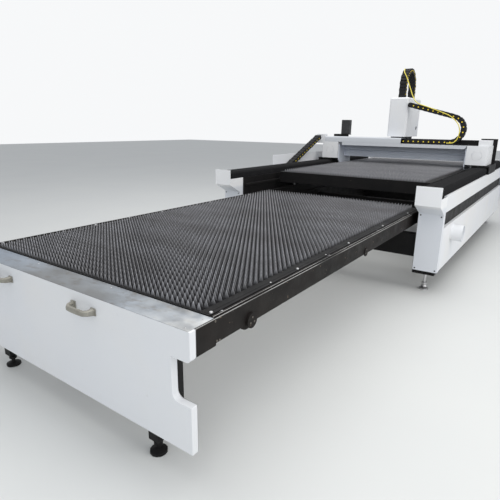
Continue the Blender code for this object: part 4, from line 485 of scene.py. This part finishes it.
def cloth_and_plastics():
    """Bellows cloth, black chain plastic, and the yellow of the pins and the hose."""
    cloth = Finish("bellows_cloth", (0.008, 0.008, 0.009), 0.70, specular_ior_level=0.20, sheen_weight=0.04)
    cloth.tint(cloth.field(30, 0.45, 0.75, detail=4), (0.018, 0.018, 0.020), 0.5)
    cloth.rough(cloth.field(60, 0.3, 0.7), 0.85)
    cloth.bump(cloth.field(900, 0.3, 0.7, detail=1), 0.00025)

    plastic = Finish("chain_plastic", (0.011, 0.011, 0.012), 0.46, specular_ior_level=0.26)
    plastic.tint(plastic.field(25, 0.45, 0.75, detail=4), (0.024, 0.024, 0.025), 0.5)
    plastic.rough(plastic.field(35, 0.3, 0.7), 0.62)
    plastic.bump(plastic.field(500, 0.3, 0.7, detail=1), 0.00015)

    made = {"cloth": cloth, "plastic": plastic}
    for name, colour in (("pin_yellow", (0.86, 0.64, 0.04)), ("hose_yellow", (0.80, 0.68, 0.10))):
        yellow = Finish(name, colour, 0.42)
        yellow.tint(yellow.field(30, 0.45, 0.75, detail=4), tuple(0.7 * c for c in colour), 0.5)
        yellow.rough(yellow.field(40, 0.3, 0.7), 0.58)
        yellow.bump(yellow.field(300, 0.3, 0.7, detail=1), 0.0002)
        made[name] = yellow
    return made


def metals():
    """Steel, worn steel, the cast handles, the motors' dark paint and copper."""
    steel = Finish("bright_steel", (0.60, 0.60, 0.61), 0.30, 1.0)
    steel.tint(steel.field(40, 0.45, 0.75, detail=4), (0.36, 0.34, 0.32), 0.6)
    steel.rough(steel.field(60, 0.3, 0.7), 0.48)
    steel.bump(steel.field(600, 0.3, 0.7, detail=1), 0.0001)

    worn = Finish("worn_steel", (0.17, 0.155, 0.135), 0.45, 0.5)
    worn.tint(worn.field(80, 0.45, 0.75, detail=4), (0.09, 0.075, 0.06), 0.6)
    worn.rough(worn.field(90, 0.3, 0.7), 0.6)

    cast = Finish("cast_handle", (0.36, 0.345, 0.30), 0.36, 0.55)
    cast.tint(cast.field(25, 0.42, 0.72, detail=5), (0.20, 0.185, 0.155), 0.6)
    cast.rough(cast.field(45, 0.3, 0.7), 0.55)
    cast.bump(cast.field(450, 0.3, 0.7, detail=2), 0.0003)

    motor = Finish("motor_black", (0.022, 0.022, 0.024), 0.38)
    motor.tint(motor.field(20, 0.45, 0.75, detail=4), (0.05, 0.05, 0.052), 0.5)
    motor.rough(motor.field(30, 0.3, 0.7), 0.52)
    motor.bump(motor.field(550, 0.3, 0.7, detail=2), 0.0002)

    copper = Finish("copper", (0.72, 0.36, 0.20), 0.28, 1.0)
    copper.tint(copper.field(60, 0.4, 0.7, detail=4), (0.42, 0.20, 0.12), 0.5)
    copper.rough(copper.field(80, 0.3, 0.7), 0.45)
    return {"steel": steel, "worn": worn, "cast": cast, "motor": motor, "copper": copper}


class Shape:
    """Simple closed solids gathered into one mesh, each face with the number of its material."""

    def __init__(self):
        self.points, self.faces, self.slots = [], [], []

    def add(self, points, faces, slot=0):
        """Takes in one solid."""
        first = len(self.points)
        self.points += points
        self.faces += [[first + i for i in face] for face in faces]
        self.slots += [slot] * len(faces)

    def prism(self, outline, limits, axis, slot=0):
        """Flat outline drawn across the other two axes, in their order, and pushed along this one."""
        if axis == "X":
            points = [(w, u, v) for w in limits for u, v in outline]
        elif axis == "Y":
            points = [(u, w, v) for w in limits for u, v in outline]
        else:
            points = [(u, v, w) for w in limits for u, v in outline]
        count = len(outline)
        faces = [list(range(count)), list(range(2 * count - 1, count - 1, -1))]
        faces += [[i, (i + 1) % count, count + (i + 1) % count, count + i] for i in range(count)]
        self.add(points, faces, slot)

    def box(self, x, y, z, slot=0, chamfer=0.0):
        """Box, with its upright edges cut off where chamfer is given."""
        c = chamfer
        if c:
            outline = [(x[0] + c, y[0]), (x[1] - c, y[0]), (x[1], y[0] + c), (x[1], y[1] - c),
                       (x[1] - c, y[1]), (x[0] + c, y[1]), (x[0], y[1] - c), (x[0], y[0] + c)]
        else:
            outline = [(x[0], y[0]), (x[1], y[0]), (x[1], y[1]), (x[0], y[1])]
        self.prism(outline, z, "Z", slot)

    def loft(self, rings, slot=0):
        """Skin over rings of points, capped at both ends."""
        count, total = len(rings[0]), len(rings)
        points = [tuple(p) for ring in rings for p in ring]
        faces = []
        for i in range(total - 1):
            a, b = i * count, (i + 1) * count
            faces += [[a + j, a + (j + 1) % count, b + (j + 1) % count, b + j] for j in range(count)]
        faces += [list(range(count)), list(range(total * count - 1, (total - 1) * count - 1, -1))]
        self.add(points, faces, slot)

    def turned(self, start, direction, profile, sides, slot=0):
        """Solid of revolution: profile gives (distance along the axis, radius)."""
        axis = Vector(direction).normalized()
        across = axis.orthogonal().normalized()
        third = axis.cross(across)
        rings = []
        for distance, radius in profile:
            centre = Vector(start) + axis * distance
            rings.append([centre + (across * math.cos(a) + third * math.sin(a)) * radius
                          for a in (2 * math.pi * i / sides for i in range(sides))])
        self.loft(rings, slot)

    def bolt(self, place, direction, radius, height, slot=0, washer=True):
        """Hexagon head, with a washer under it."""
        if washer:
            profile = [(-SINK, radius * WASHER_RADIUS), (WASHER_HEIGHT, radius * WASHER_RADIUS),
                       (WASHER_TOP, radius * WASHER_EDGE)]
            self.turned(place, direction, profile, WASHER_SIDES, slot)
        head = [(BOLT_BASE, radius), (height, radius), (height + BOLT_CROWN_HEIGHT, radius * BOLT_CROWN)]
        self.turned(place, direction, head, BOLT_SIDES, slot)

    def screw(self, place, direction, radius, slot=0):
        """Low round head with a socket in it."""
        profile = [(-SINK, radius)] + [(radius * height, radius * share) for height, share in SCREW_PROFILE]
        self.turned(place, direction, profile, SCREW_SIDES, slot)

    def tube(self, route, radius, sides, slot=0):
        """Round tube along a route of points."""
        points = [Vector(p) for p in route]
        tangent = (points[1] - points[0]).normalized()
        across = tangent.orthogonal().normalized()
        rings = []
        for i, point in enumerate(points):
            before, after = points[max(i - 1, 0)], points[min(i + 1, len(points) - 1)]
            new_tangent = (after - before).normalized()
            across = (tangent.rotation_difference(new_tangent) @ across).normalized()
            tangent = new_tangent
            third = tangent.cross(across)
            rings.append([point + (across * math.cos(a) + third * math.sin(a)) * radius
                          for a in (2 * math.pi * j / sides for j in range(sides))])
        self.loft(rings, slot)

    def build(self, name, finishes, body=None, sharp=SHARP_ANGLE, bevel=0.0):
        """Makes the object, with outward faces and its finishes, and sets it on its body."""
        mesh = bpy.data.meshes.new(name)
        mesh.from_pydata(self.points, [], self.faces)
        for finish in finishes:
            mesh.materials.append(finish.material)
        mesh.polygons.foreach_set("material_index", self.slots)
        bm = bmesh.new()
        bm.from_mesh(mesh)
        bmesh.ops.recalc_face_normals(bm, faces=bm.faces)
        bm.to_mesh(mesh)
        bm.free()
        mesh.polygons.foreach_set("use_smooth", [True] * len(mesh.polygons))
        mesh.set_sharp_from_angle(angle=math.radians(sharp))
        obj = bpy.data.objects.new(name, mesh)
        bpy.context.scene.collection.objects.link(obj)
        if bevel:
            soften(obj, bevel)
        if body:
            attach(obj, body)
        return obj


def soften(obj, width):
    """Rounds the sharp edges in the look, with modifiers only."""
    weld = obj.modifiers.new("Weld", "WELD")
    weld.merge_threshold = WELD_DISTANCE
    flat = obj.modifiers.new("Flat", "DECIMATE")
    flat.decimate_type = "DISSOLVE"
    flat.angle_limit = math.radians(FLAT_ANGLE)
    bevel = obj.modifiers.new("Bevel", "BEVEL")
    bevel.width = width
    bevel.segments = BEVEL_SEGMENTS
    bevel.limit_method = "ANGLE"
    bevel.angle_limit = math.radians(BEVEL_ANGLE)
    bevel.use_clamp_overlap = True
    normals = obj.modifiers.new("Normals", "WEIGHTED_NORMAL")
    normals.keep_sharp = False


def dress(names, finish, width):
    """Gives CAD nodes their finish and edges rounded to this width."""
    for name in names:
        node = NODES[name]
        node.data.materials.clear()
        node.data.materials.append(finish.material)
        soften(node, width)


def slat_outline(tip):
    """One row of pointed teeth with slightly full sides, over a plain strip."""
    half = PALLET_HALF_WIDTH - RIM_WIDTH
    end = PALLET_HALF_WIDTH - SIDE_BAR + SLAT_SEAT
    pitch = 2 * half / TEETH
    valley, middle = tip - TOOTH, tip - TOOTH / 2
    outline = [(-end, tip - SLAT_DEPTH), (end, tip - SLAT_DEPTH), (end, valley), (half, valley)]
    for i in range(TEETH):
        centre = half - (i + 0.5) * pitch
        outline += [(centre + TOOTH_SHOULDER * pitch, middle), (centre, tip),
                    (centre - TOOTH_SHOULDER * pitch, middle), (centre - pitch / 2, valley)]
    return outline + [(-end, valley)]


def bar_section(low, high, bottom, top):
    """Upright bar with its two top corners cut off."""
    return [(low, bottom), (high, bottom), (high, top - BAR_CHAMFER), (high - BAR_CHAMFER, top),
            (low + BAR_CHAMFER, top), (low, top - BAR_CHAMFER)]


def fine_pallet(node, body, start, top, finish, fittings):
    """Pallet with every slat and tooth, its frame, bars and fittings, in place of the CAD one."""
    shape = Shape()
    tip = top + SLAT_RISE
    outline = slat_outline(tip)
    inner_start, inner_end = start + END_BAR, start + PALLET_LENGTH - END_BAR
    step = (inner_end - inner_start - 2 * FIRST_SLAT) / (SLAT_COUNT - 1)
    for i in range(SLAT_COUNT):
        y = along(inner_start + FIRST_SLAT + i * step)
        shape.prism(outline, (y - SLAT_THICKNESS / 2, y + SLAT_THICKNESS / 2), "Y", SLATS)
    half = PALLET_HALF_WIDTH
    bottom = top - FRAME_HEIGHT
    front, back = along(start), along(start + PALLET_LENGTH)
    for side in SIDES:
        low_x, high_x = sorted((side * (half - SIDE_BAR), side * half))
        shape.prism(bar_section(low_x, high_x, bottom, top), (front, back), "Y", BARS)
        shape.box(sorted((side * (half - RIM_WIDTH), side * (half - SIDE_BAR))),
                  (front + END_BAR, back - END_BAR), (top - RIM_THICKNESS, top), BARS)
        bar = side * SUPPORT_BAR_X
        shape.box((bar - SUPPORT_BAR_WIDTH / 2, bar + SUPPORT_BAR_WIDTH / 2),
                  (front + SUPPORT_BAR_GAP, back - SUPPORT_BAR_GAP),
                  (bottom + SUPPORT_BAR_LIFT, tip - SLAT_DEPTH), BARS)
    for low_y in (front, back - END_BAR):
        section = bar_section(low_y, low_y + END_BAR, bottom, top)
        shape.prism(section, (-half + SIDE_BAR, half - SIDE_BAR), "X", BARS)
    fittings(shape, start, top)
    finishes = [FINISH[finish], FINISH["black"], FINISH["steel"]]
    pallet = shape.build(node + "_fine", finishes, body)
    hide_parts(node)


def lower_fittings(shape, start, top):
    """Domed bolts along the side bars."""
    for side in SIDES:
        for y, size in DOME_BOLTS:
            place = (side * (PALLET_HALF_WIDTH - SIDE_BAR / 2), along(start + y), top)
            profile = [(-SINK, DOME_RADIUS * size), (DOME_RIM, DOME_RADIUS * size)]
            profile += [(height * size, radius * size) for height, radius in (DOME_SHOULDER, DOME_CROWN)]
            shape.turned(place, UP, profile, DOME_SIDES, FASTENERS)


def upper_fittings(shape, start, top):
    """Hangers that reach down to the wheels, with their bolts."""
    low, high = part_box("upper_wheel_front_left")
    axle = (low.z + high.z) / 2
    knee, foot = axle + HANGER_KNEE, axle - HANGER_FOOT
    for side in SIDES:
        face = side * (PALLET_HALF_WIDTH + HANGER_PROUD)
        limits = sorted((side * (PALLET_HALF_WIDTH - HANGER_SINK), face))
        for distance in (start + WHEEL_OFFSET, start + PALLET_LENGTH - WHEEL_OFFSET):
            y = along(distance)
            outline = [(y - HANGER_HALF_WIDTH, top - HANGER_TOP), (y - HANGER_HALF_WIDTH, knee),
                       (y - HANGER_TOE, foot), (y + HANGER_TOE, foot),
                       (y + HANGER_HALF_WIDTH, knee), (y + HANGER_HALF_WIDTH, top - HANGER_TOP)]
            shape.prism(outline, limits, "X", BARS)
            for offset in (-HANGER_BOLT_OFFSET, HANGER_BOLT_OFFSET):
                shape.bolt((face, y + offset, top - HANGER_BOLT_DROP), (side, 0, 0), HANGER_BOLT_RADIUS,
                           HANGER_BOLT_HEIGHT, FASTENERS, washer=False)


def arc(centre, radius, start, end, steps):
    """Points of a bend, from one angle to the other."""
    return [(centre[0] + radius * math.cos(start + (end - start) * i / steps),
             centre[1] + radius * math.sin(start + (end - start) * i / steps)) for i in range(steps + 1)]


def tangent_angle(centre, radius, outside, turn):
    """Angle on a bend where a straight run from a point outside meets it."""
    dx, dy = outside[0] - centre[0], outside[1] - centre[1]
    return math.atan2(dy, dx) + turn * math.acos(radius / math.hypot(dx, dy))


def stations(route, pitch):
    """Evenly spaced points along a route."""
    lengths = [math.dist(a, b) for a, b in zip(route, route[1:])]
    count = round(sum(lengths) / pitch)
    result = []
    for i in range(count + 1):
        rest = sum(lengths) * i / count
        for a, b, length in zip(route, route[1:], lengths):
            if rest <= length or b is route[-1]:
                t = min(rest / length, 1)
                result.append((a[0] + (b[0] - a[0]) * t, a[1] + (b[1] - a[1]) * t))
                break
            rest -= length
    return result


def placed(outline, middle, direction):
    """Outline given along and across a direction, moved to its middle."""
    (u, v), (du, dv) = middle, direction
    return [(u + du * t - dv * n, v + dv * t + du * n) for t, n in outline]


def link_outline(length, half_height):
    """Side plate with a full nose and tail that reach past its pins."""
    reach, waist = length * LINK_REACH, half_height * LINK_WAIST
    upper = [(reach, waist * LINK_END), (reach * LINK_SHOULDER, waist), (reach * LINK_NOSE, half_height),
             (-reach * LINK_TAIL, half_height), (-reach * LINK_SHOULDER, waist), (-reach, waist * LINK_END)]
    return [(t, -n) for t, n in reversed(upper)] + upper


def cross_bar_outline(reach, half_height, side):
    """Bar over or under the cables, with its outer corners cut off."""
    base, shoulder, crown = (half_height - level for level in CROSS_BAR_LEVELS)
    flat = reach * CROSS_BAR_FLAT
    return [(t, side * n) for t, n in ((-reach, base), (reach, base), (reach, shoulder), (flat, crown),
                                       (-flat, crown), (-reach, shoulder))]


def drag_chain(name, route, centre, width, axis, pitch, bar_reach=CROSS_BAR_REACH):
    """Links with rounded side plates, cross bars, yellow pins and the cables inside, along a route."""
    shape = Shape()
    for offset, radius in CABLES:
        place = centre + offset * width
        cable = [(place, u, v) if axis == "X" else (u, place, v) for u, v in route]
        shape.tube(cable, radius, CABLE_SIDES, LINKS)
    half_width, half_height = width / 2, CHAIN_HEIGHT / 2
    places = stations(route, pitch)
    for i, (start, end) in enumerate(zip(places, places[1:])):
        length = math.dist(start, end)
        direction = ((end[0] - start[0]) / length, (end[1] - start[1]) / length)
        middle = ((start[0] + end[0]) / 2, (start[1] + end[1]) / 2)
        plate = placed(link_outline(length, half_height), middle, direction)
        turns = (2 * math.pi * j / PIN_SIDES for j in range(PIN_SIDES))
        pin = placed([(-length / 2 + PIN_RADIUS * math.cos(a), PIN_RADIUS * math.sin(a)) for a in turns],
                     middle, direction)
        inset = LINK_INSET if i % 2 else 0.0
        for side in SIDES:
            outer = centre + side * (half_width - inset)
            inner = centre + side * (half_width - inset - LINK_PLATE)
            shape.prism(plate, sorted((inner, outer)), axis, LINKS)
            shape.prism(pin, sorted((outer, centre + side * (half_width + PIN_PROUD))), axis, PINS)
        half_bar = half_width - CROSS_BAR_MARGIN
        for side in SIDES:
            bar = placed(cross_bar_outline(length * bar_reach, half_height, side), middle, direction)
            shape.prism(bar, (centre - half_bar, centre + half_bar), axis, LINKS)
    chain = shape.build(name + "_links", [FINISH["plastic"], FINISH["pin_yellow"]])
    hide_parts(name)
    return chain


def x_chain():
    """Chain that lies in the trough, bends up and ends on the head's hood."""
    centre = (X_CHAIN_BEND_X, X_CHAIN_START[1] + X_CHAIN_RADIUS)
    leave = tangent_angle(centre, X_CHAIN_RADIUS, X_CHAIN_HEAD, -1)
    bend = arc(centre, X_CHAIN_RADIUS, -math.pi / 2, leave, BEND_STEPS)
    route = [X_CHAIN_START] + bend + [X_CHAIN_HEAD]
    chain = drag_chain("x_chain", route, along(X_CHAIN_PLANE), CHAIN_WIDTH, "Y", LINK_PITCH)
    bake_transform(chain)


def y_chain():
    """Chain that lies in the tray beside the bed, bends up and ends on the gantry's arm."""
    start, centre, gantry = ((along(y), z) for y, z in (Y_CHAIN_START, Y_CHAIN_BEND, Y_CHAIN_GANTRY))
    leave = tangent_angle(centre, Y_CHAIN_RADIUS, gantry, 1)
    bend = arc(centre, Y_CHAIN_RADIUS, 3 * math.pi / 2, leave, BEND_STEPS)
    chain = drag_chain("y_chain", [start] + bend + [gantry], Y_CHAIN_PLANE, CHAIN_WIDTH, "X", LINK_PITCH)
    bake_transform(chain)


def z_chain():
    """Chain that stands over the hood and carries the slide's cables."""
    start, centre, end = ((along(y), z) for y, z in (Z_CHAIN_START, Z_CHAIN_BEND, Z_CHAIN_END))
    route = [start] + arc(centre, Z_CHAIN_RADIUS, math.pi, 0, Z_BEND_STEPS) + [end]
    chain = drag_chain("z_chain", route, Z_CHAIN_PLANE, Z_CHAIN_WIDTH, "X", Z_LINK_PITCH, Z_CROSS_BAR_REACH)
    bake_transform(chain)


def bellows(name):
    """Folded cloth cover with a ridge every few centimetres, between its two end frames."""
    low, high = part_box(name)
    count = 2 * round((high.y - low.y) / FOLD_PITCH)
    c, t = FOLD_CORNER, BELLOWS_CLOTH_THICKNESS
    rings = []
    for i in range(count + 1):
        y = low.y + (high.y - low.y) * i / count
        inset = FOLD_DEPTH if i % 2 else 0.0
        x0, x1, z1 = low.x + inset, high.x - inset, high.z - inset
        outer = [(x0, low.z), (x0, z1 - c), (x0 + c, z1), (x1 - c, z1), (x1, z1 - c), (x1, low.z)]
        inner = [(x1 - t, low.z), (x1 - t, z1 - c - t / 2), (x1 - c - t / 2, z1 - t),
                 (x0 + c + t / 2, z1 - t), (x0 + t, z1 - c - t / 2), (x0 + t, low.z)]
        rings.append([(x, y, z) for x, z in outer + inner])
    shape = Shape()
    shape.loft(rings)
    cover = shape.build(name + "_folds", [FINISH["cloth"]], sharp=FOLD_SHARP_ANGLE)
    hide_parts(name)
    return cover


def all_bellows():
    """The four bellows, built in place of the CAD ones; on the machine each is fixed at the bed's end and
    pulled by the gantry.
    """
    for side in SIDE_NAMES:
        for end in ENDS:
            name = f"bellows_{end}_{side}"
            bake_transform(bellows(name))


def smooth_route(points, per_stretch):
    """Catmull-Rom curve through the points."""
    padded = [points[0]] + points + [points[-1]]
    route = []
    for quad in zip(padded, padded[1:], padded[2:], padded[3:]):
        a, b, c, d = map(Vector, quad)
        for i in range(per_stretch):
            t = i / per_stretch
            route.append(0.5 * (2 * b + (c - a) * t + (2 * a - 5 * b + 4 * c - d) * t ** 2
                                + (3 * b - a - 3 * c + d) * t ** 3))
    return route + [Vector(points[-1])]


def fibre_hose():
    """Smooth hose from the Z chain to the trough."""
    route = smooth_route([(x, along(y), z) for x, y, z in HOSE_ROUTE], HOSE_STEPS)
    shape = Shape()
    shape.tube(route, HOSE_RADIUS, HOSE_SIDES)
    hose = shape.build("fibre_hose_smooth", [FINISH["hose_yellow"]], sharp=HOSE_SHARP_ANGLE)
    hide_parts("fibre_hose")
    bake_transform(hose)


def handle_rings(half, reach, centre, face, level):
    """Sections along the bow, each square to its path."""
    bow = [(-half + inset, share * reach + offset, thick, tall)
           for inset, share, offset, thick, tall in HANDLE_BOW]
    bow += [(-x, out, thick, tall) for x, out, thick, tall in reversed(bow)]
    last = len(bow) - 1
    rings = []
    for i, (x, out, thick, tall) in enumerate(bow):
        before, after = bow[max(i - 1, 0)], bow[min(i + 1, last)]
        tangent = Vector((after[0] - before[0], after[1] - before[1])).normalized()
        if i in (0, last):
            tangent = Vector((0, 1 if i == 0 else -1))
        middle_x, middle_y = centre + x, face - out
        rings.append([(middle_x - tangent.y * u * thick, middle_y - tangent.x * u * thick, level + v * tall)
                      for u, v in HANDLE_SECTION])
    return rings


def handles():
    """Cast bow handles with wide feet."""
    for name in ("handle_left", "handle_right"):
        low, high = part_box(name)
        centre, level, face = (low.x + high.x) / 2, (low.z + high.z) / 2, high.y
        half = (high.x - low.x) / 2 - HANDLE_END
        shape = Shape()
        shape.loft(handle_rings(half, high.y - low.y, centre, face, level))
        for end in SIDES:
            foot = centre + end * half
            shape.box((foot - HANDLE_FOOT_HALF, foot + HANDLE_FOOT_HALF),
                      (face - HANDLE_FOOT_THICKNESS, face),
                      (level - HANDLE_FOOT_HEIGHT, level + HANDLE_FOOT_HEIGHT))
        handle = shape.build(name + "_cast", [FINISH["cast"]], "bed", sharp=HANDLE_SHARP_ANGLE,
                             bevel=HANDLE_EDGE)
        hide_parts(name)


def table_screws():
    """Screws on the galvanised sheet and bolts along the table beams."""
    shape = Shape()
    _, plate_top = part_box("front_plate")
    for x, y in PLATE_SCREWS:
        shape.screw((x, along(y), plate_top.z), UP, PLATE_SCREW_RADIUS)
    for side in SIDES:
        for y in BEAM_BOLTS:
            shape.bolt((side * BEAM_BOLT_X, along(y), BEAM_BOLT_Z), UP, BEAM_BOLT_RADIUS, BEAM_BOLT_HEIGHT)
    shape.build("table_screws", [FINISH["steel"]], "bed")


def idler_caps():
    """Rear idler caps, the screws on both caps and the bolts behind the end doublers."""
    caps = Shape()
    _, beam_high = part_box("table_beam_right")
    for side in SIDES:
        out = (side, 0, 0)
        web, cap = side * (beam_high.x - CAP_PROUD), side * beam_high.x
        caps.turned((web, along(REAR_CAP_Y), REAR_CAP_Z), out, REAR_CAP_PROFILE, CAP_SIDES, CAPS)
        rear_cap = web + side * REAR_CAP_HEIGHT
        for face, y, z in ((cap, FRONT_CAP_Y, FRONT_CAP_Z), (rear_cap, REAR_CAP_Y, REAR_CAP_Z)):
            for i in range(CAP_SCREWS):
                angle = math.pi / 2 + 2 * math.pi * i / CAP_SCREWS
                dy, dz = CAP_SCREW_CIRCLE * math.cos(angle), CAP_SCREW_CIRCLE * math.sin(angle)
                caps.screw((face, along(y) + dy, z + dz), out, CAP_SCREW_RADIUS, CAP_FASTENERS)
        for y, z in DOUBLER_BOLTS:
            caps.screw((web + side * DOUBLER_PROUD, along(y), z), out, DOUBLER_BOLT_RADIUS, CAP_FASTENERS)
    caps.build("idler_caps", [FINISH["beam_black"], FINISH["worn"]], "bed")


def cover_screws():
    """Dark screws at the corners of the front covers."""
    shape = Shape()
    face = along(COLUMN_FACE)
    for side in SIDES:
        low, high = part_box("end_cover_front_" + ("right" if side > 0 else "left"))
        for x in (low.x + SCREW_MARGIN, high.x - SCREW_MARGIN):
            for z in (low.z + SCREW_MARGIN, COLUMN_TOP):
                shape.screw((x, face, z), FORWARD, COVER_SCREW_RADIUS)
    shape.build("cover_screws", [FINISH["motor"]], "bed")


def foot_nuts():
    """Large nut and a collar on each levelling foot."""
    nuts = Shape()
    for end in ENDS:
        for side in SIDE_NAMES:
            low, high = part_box(f"bed_foot_{end}_{side}")
            place = ((low.x + high.x) / 2, (low.y + high.y) / 2, FOOT_NUT_LEVEL)
            nuts.turned(place, UP, FOOT_NUT_PROFILE, BOLT_SIDES)
            nuts.turned(place, UP, FOOT_COLLAR_PROFILE, FOOT_COLLAR_SIDES)
    nuts.build("foot_nuts", [FINISH["steel"]], "bed")


def vent_grilles():
    """Round grille of fine rings over the vent slots of each end box."""
    profile = list(GRILLE_RIM)
    radius = GRILLE_RADIUS - GRILLE_PITCH
    while radius > GRILLE_CORE:
        profile += [(GRILLE_GROOVE, radius)] + [(GRILLE_RING, radius - edge) for edge in GRILLE_RING_EDGES]
        radius -= GRILLE_PITCH
    profile.append(GRILLE_HUB)
    shape = Shape()
    for side in SIDES:
        low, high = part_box("end_box_" + ("right" if side > 0 else "left"))
        place = ((low.x + high.x) / 2, low.y, (low.z + high.z) / 2)
        shape.turned(place, FORWARD, profile, GRILLE_SIDES)
    shape.build("vent_grilles", [FINISH["white"]], "gantry", sharp=FOLD_SHARP_ANGLE)


def hood_latch():
    """Latch with a lever on the right face of the head's hood."""
    shape = Shape()
    x, y, z = LATCH_PLACE[0], along(LATCH_PLACE[1]), LATCH_PLACE[2]
    for part in (LATCH_PLATE, LATCH_LEVER):
        limits = [(place + low, place + high) for place, (low, high) in zip((x, y, z), part)]
        shape.box(*limits, chamfer=LATCH_CHAMFER)
    shape.build("hood_latches", [FINISH["motor"]], "head", bevel=LATCH_EDGE)


def add_camera():
    """Camera with the photograph's lens and viewing angle."""
    right, up = Vector(CAMERA_RIGHT), Vector(CAMERA_UP)
    back = right.cross(up)
    camera = bpy.data.objects.new("camera", bpy.data.cameras.new("camera"))
    camera.data.lens = CAMERA_LENS
    camera.data.sensor_width = CAMERA_SENSOR
    camera.data.clip_end = CAMERA_REACH
    rows = [(r, u, b, p) for r, u, b, p in zip(right, up, back, CAMERA_PLACE)]
    camera.matrix_world = Matrix(rows + [(0, 0, 0, 1)])
    bpy.context.scene.collection.objects.link(camera)
    bpy.context.scene.camera = camera


def add_light(name, place, target, size, power, colour):
    """Soft rectangular light that faces its target."""
    lamp = bpy.data.lights.new(name, "AREA")
    lamp.shape = "RECTANGLE"
    lamp.size, lamp.size_y = size
    lamp.energy = power
    lamp.color = colour
    holder = bpy.data.objects.new(name, lamp)
    holder.location = place
    holder.rotation_mode = "QUATERNION"
    holder.rotation_quaternion = (Vector(target) - Vector(place)).to_track_quat("-Z", "Y")
    bpy.context.scene.collection.objects.link(holder)


def add_world():
    """Soft room light, with a pale backdrop where the camera looks past the floor."""
    world = bpy.data.worlds.new("studio")
    world.use_nodes = True
    nodes, links = world.node_tree.nodes, world.node_tree.links
    light = nodes["Background"]
    light.inputs["Color"].default_value = ROOM_COLOUR
    light.inputs["Strength"].default_value = ROOM_STRENGTH
    seen = nodes.new("ShaderNodeBackground")
    seen.inputs["Color"].default_value = BACKDROP_COLOUR
    seen.inputs["Strength"].default_value = BACKDROP_STRENGTH
    path = nodes.new("ShaderNodeLightPath")
    mix = nodes.new("ShaderNodeMixShader")
    links.new(path.outputs["Is Camera Ray"], mix.inputs["Fac"])
    links.new(light.outputs["Background"], mix.inputs[1])
    links.new(seen.outputs["Background"], mix.inputs[2])
    links.new(mix.outputs["Shader"], nodes["World Output"].inputs["Surface"])
    bpy.context.scene.world = world


def add_floor():
    """Plain pale floor, with its top at zero."""
    shape = Shape()
    shape.box((-FLOOR_HALF, FLOOR_HALF), (-FLOOR_HALF, FLOOR_HALF), (-FLOOR_THICKNESS, 0))
    finish = Finish("pale_floor", (0.66, 0.67, 0.66), 0.55)
    finish.tint(finish.field(0.8, 0.3, 0.7), (0.62, 0.63, 0.63), 0.5)
    shape.build("floor", [finish])


add_camera()
add_world()
for light_values in LIGHTS:
    add_light(*light_values)
add_floor()

FINISH = {**white_coats(), **galvanised_sheet(), **black_paints(), **slat_steels(), **grey_paint(),
          **cloth_and_plastics(), **metals()}

WHEELS = [f"{level}_wheel_{end}_{side}" for level in ("lower", "upper") for end in ("front", "back")
          for side in SIDE_NAMES]
FEET = [f"bed_foot_{end}_{side}" for end in ENDS for side in SIDE_NAMES]
END_COVERS = [f"end_cover_{end}_{side}" for end in ENDS for side in SIDE_NAMES]

# CAD nodes with their finish and the width of their rounded edges
DRESSED = (
    (["front_panel", "side_band_left", "side_band_right", "side_panel_left", "side_panel_right"],
     "white", 0.003),
    (END_COVERS, "cover_white_painted_shade", 0.003),
    (["end_box_left", "end_box_right", "junction_box", "chain_tray", "chain_arm"], "white", 0.001),
    (["beam_skirt", "top_cover"], "beam_white", 0.001),
    (["head_cover", "duct_stub"], "white", 0.001),
    (["front_plate"], "galvanised", 0.0006),
    (["table_beam_left", "table_beam_right"], "beam_black", 0.001),
    (["table_frame", "bed_frame", "head_carriage", "chain_trough", "motor_bracket_left",
      "motor_bracket_right", "carriage_left", "carriage_right"], "black", 0.001),
    (["gantry_beam", "z_slide"], "grey", 0.001),
    (["drive_motor_left", "drive_gearmotor"], "motor", 0.0015),
    (["drive_shaft", "cutting_head"] + WHEELS, "steel", 0.0005),
    (FEET, "steel", 0.0005),
    (["nozzle"], "copper", 0.0003),
)
for node_names, finish_name, edge_width in DRESSED:
    dress(node_names, FINISH[finish_name], edge_width)

fine_pallet("lower_pallet", "pallet_low", LOWER_START, LOWER_TOP, "low_slat_painted_light", lower_fittings)
fine_pallet("upper_pallet", "pallet_up", UPPER_START, UPPER_TOP, "high_slat_painted_light", upper_fittings)
x_chain()
y_chain()
z_chain()
all_bellows()
fibre_hose()
handles()
table_screws()
idler_caps()
cover_screws()
foot_nuts()
vent_grilles()
hood_latch()

bpy.context.scene.view_settings.view_transform = "Standard"
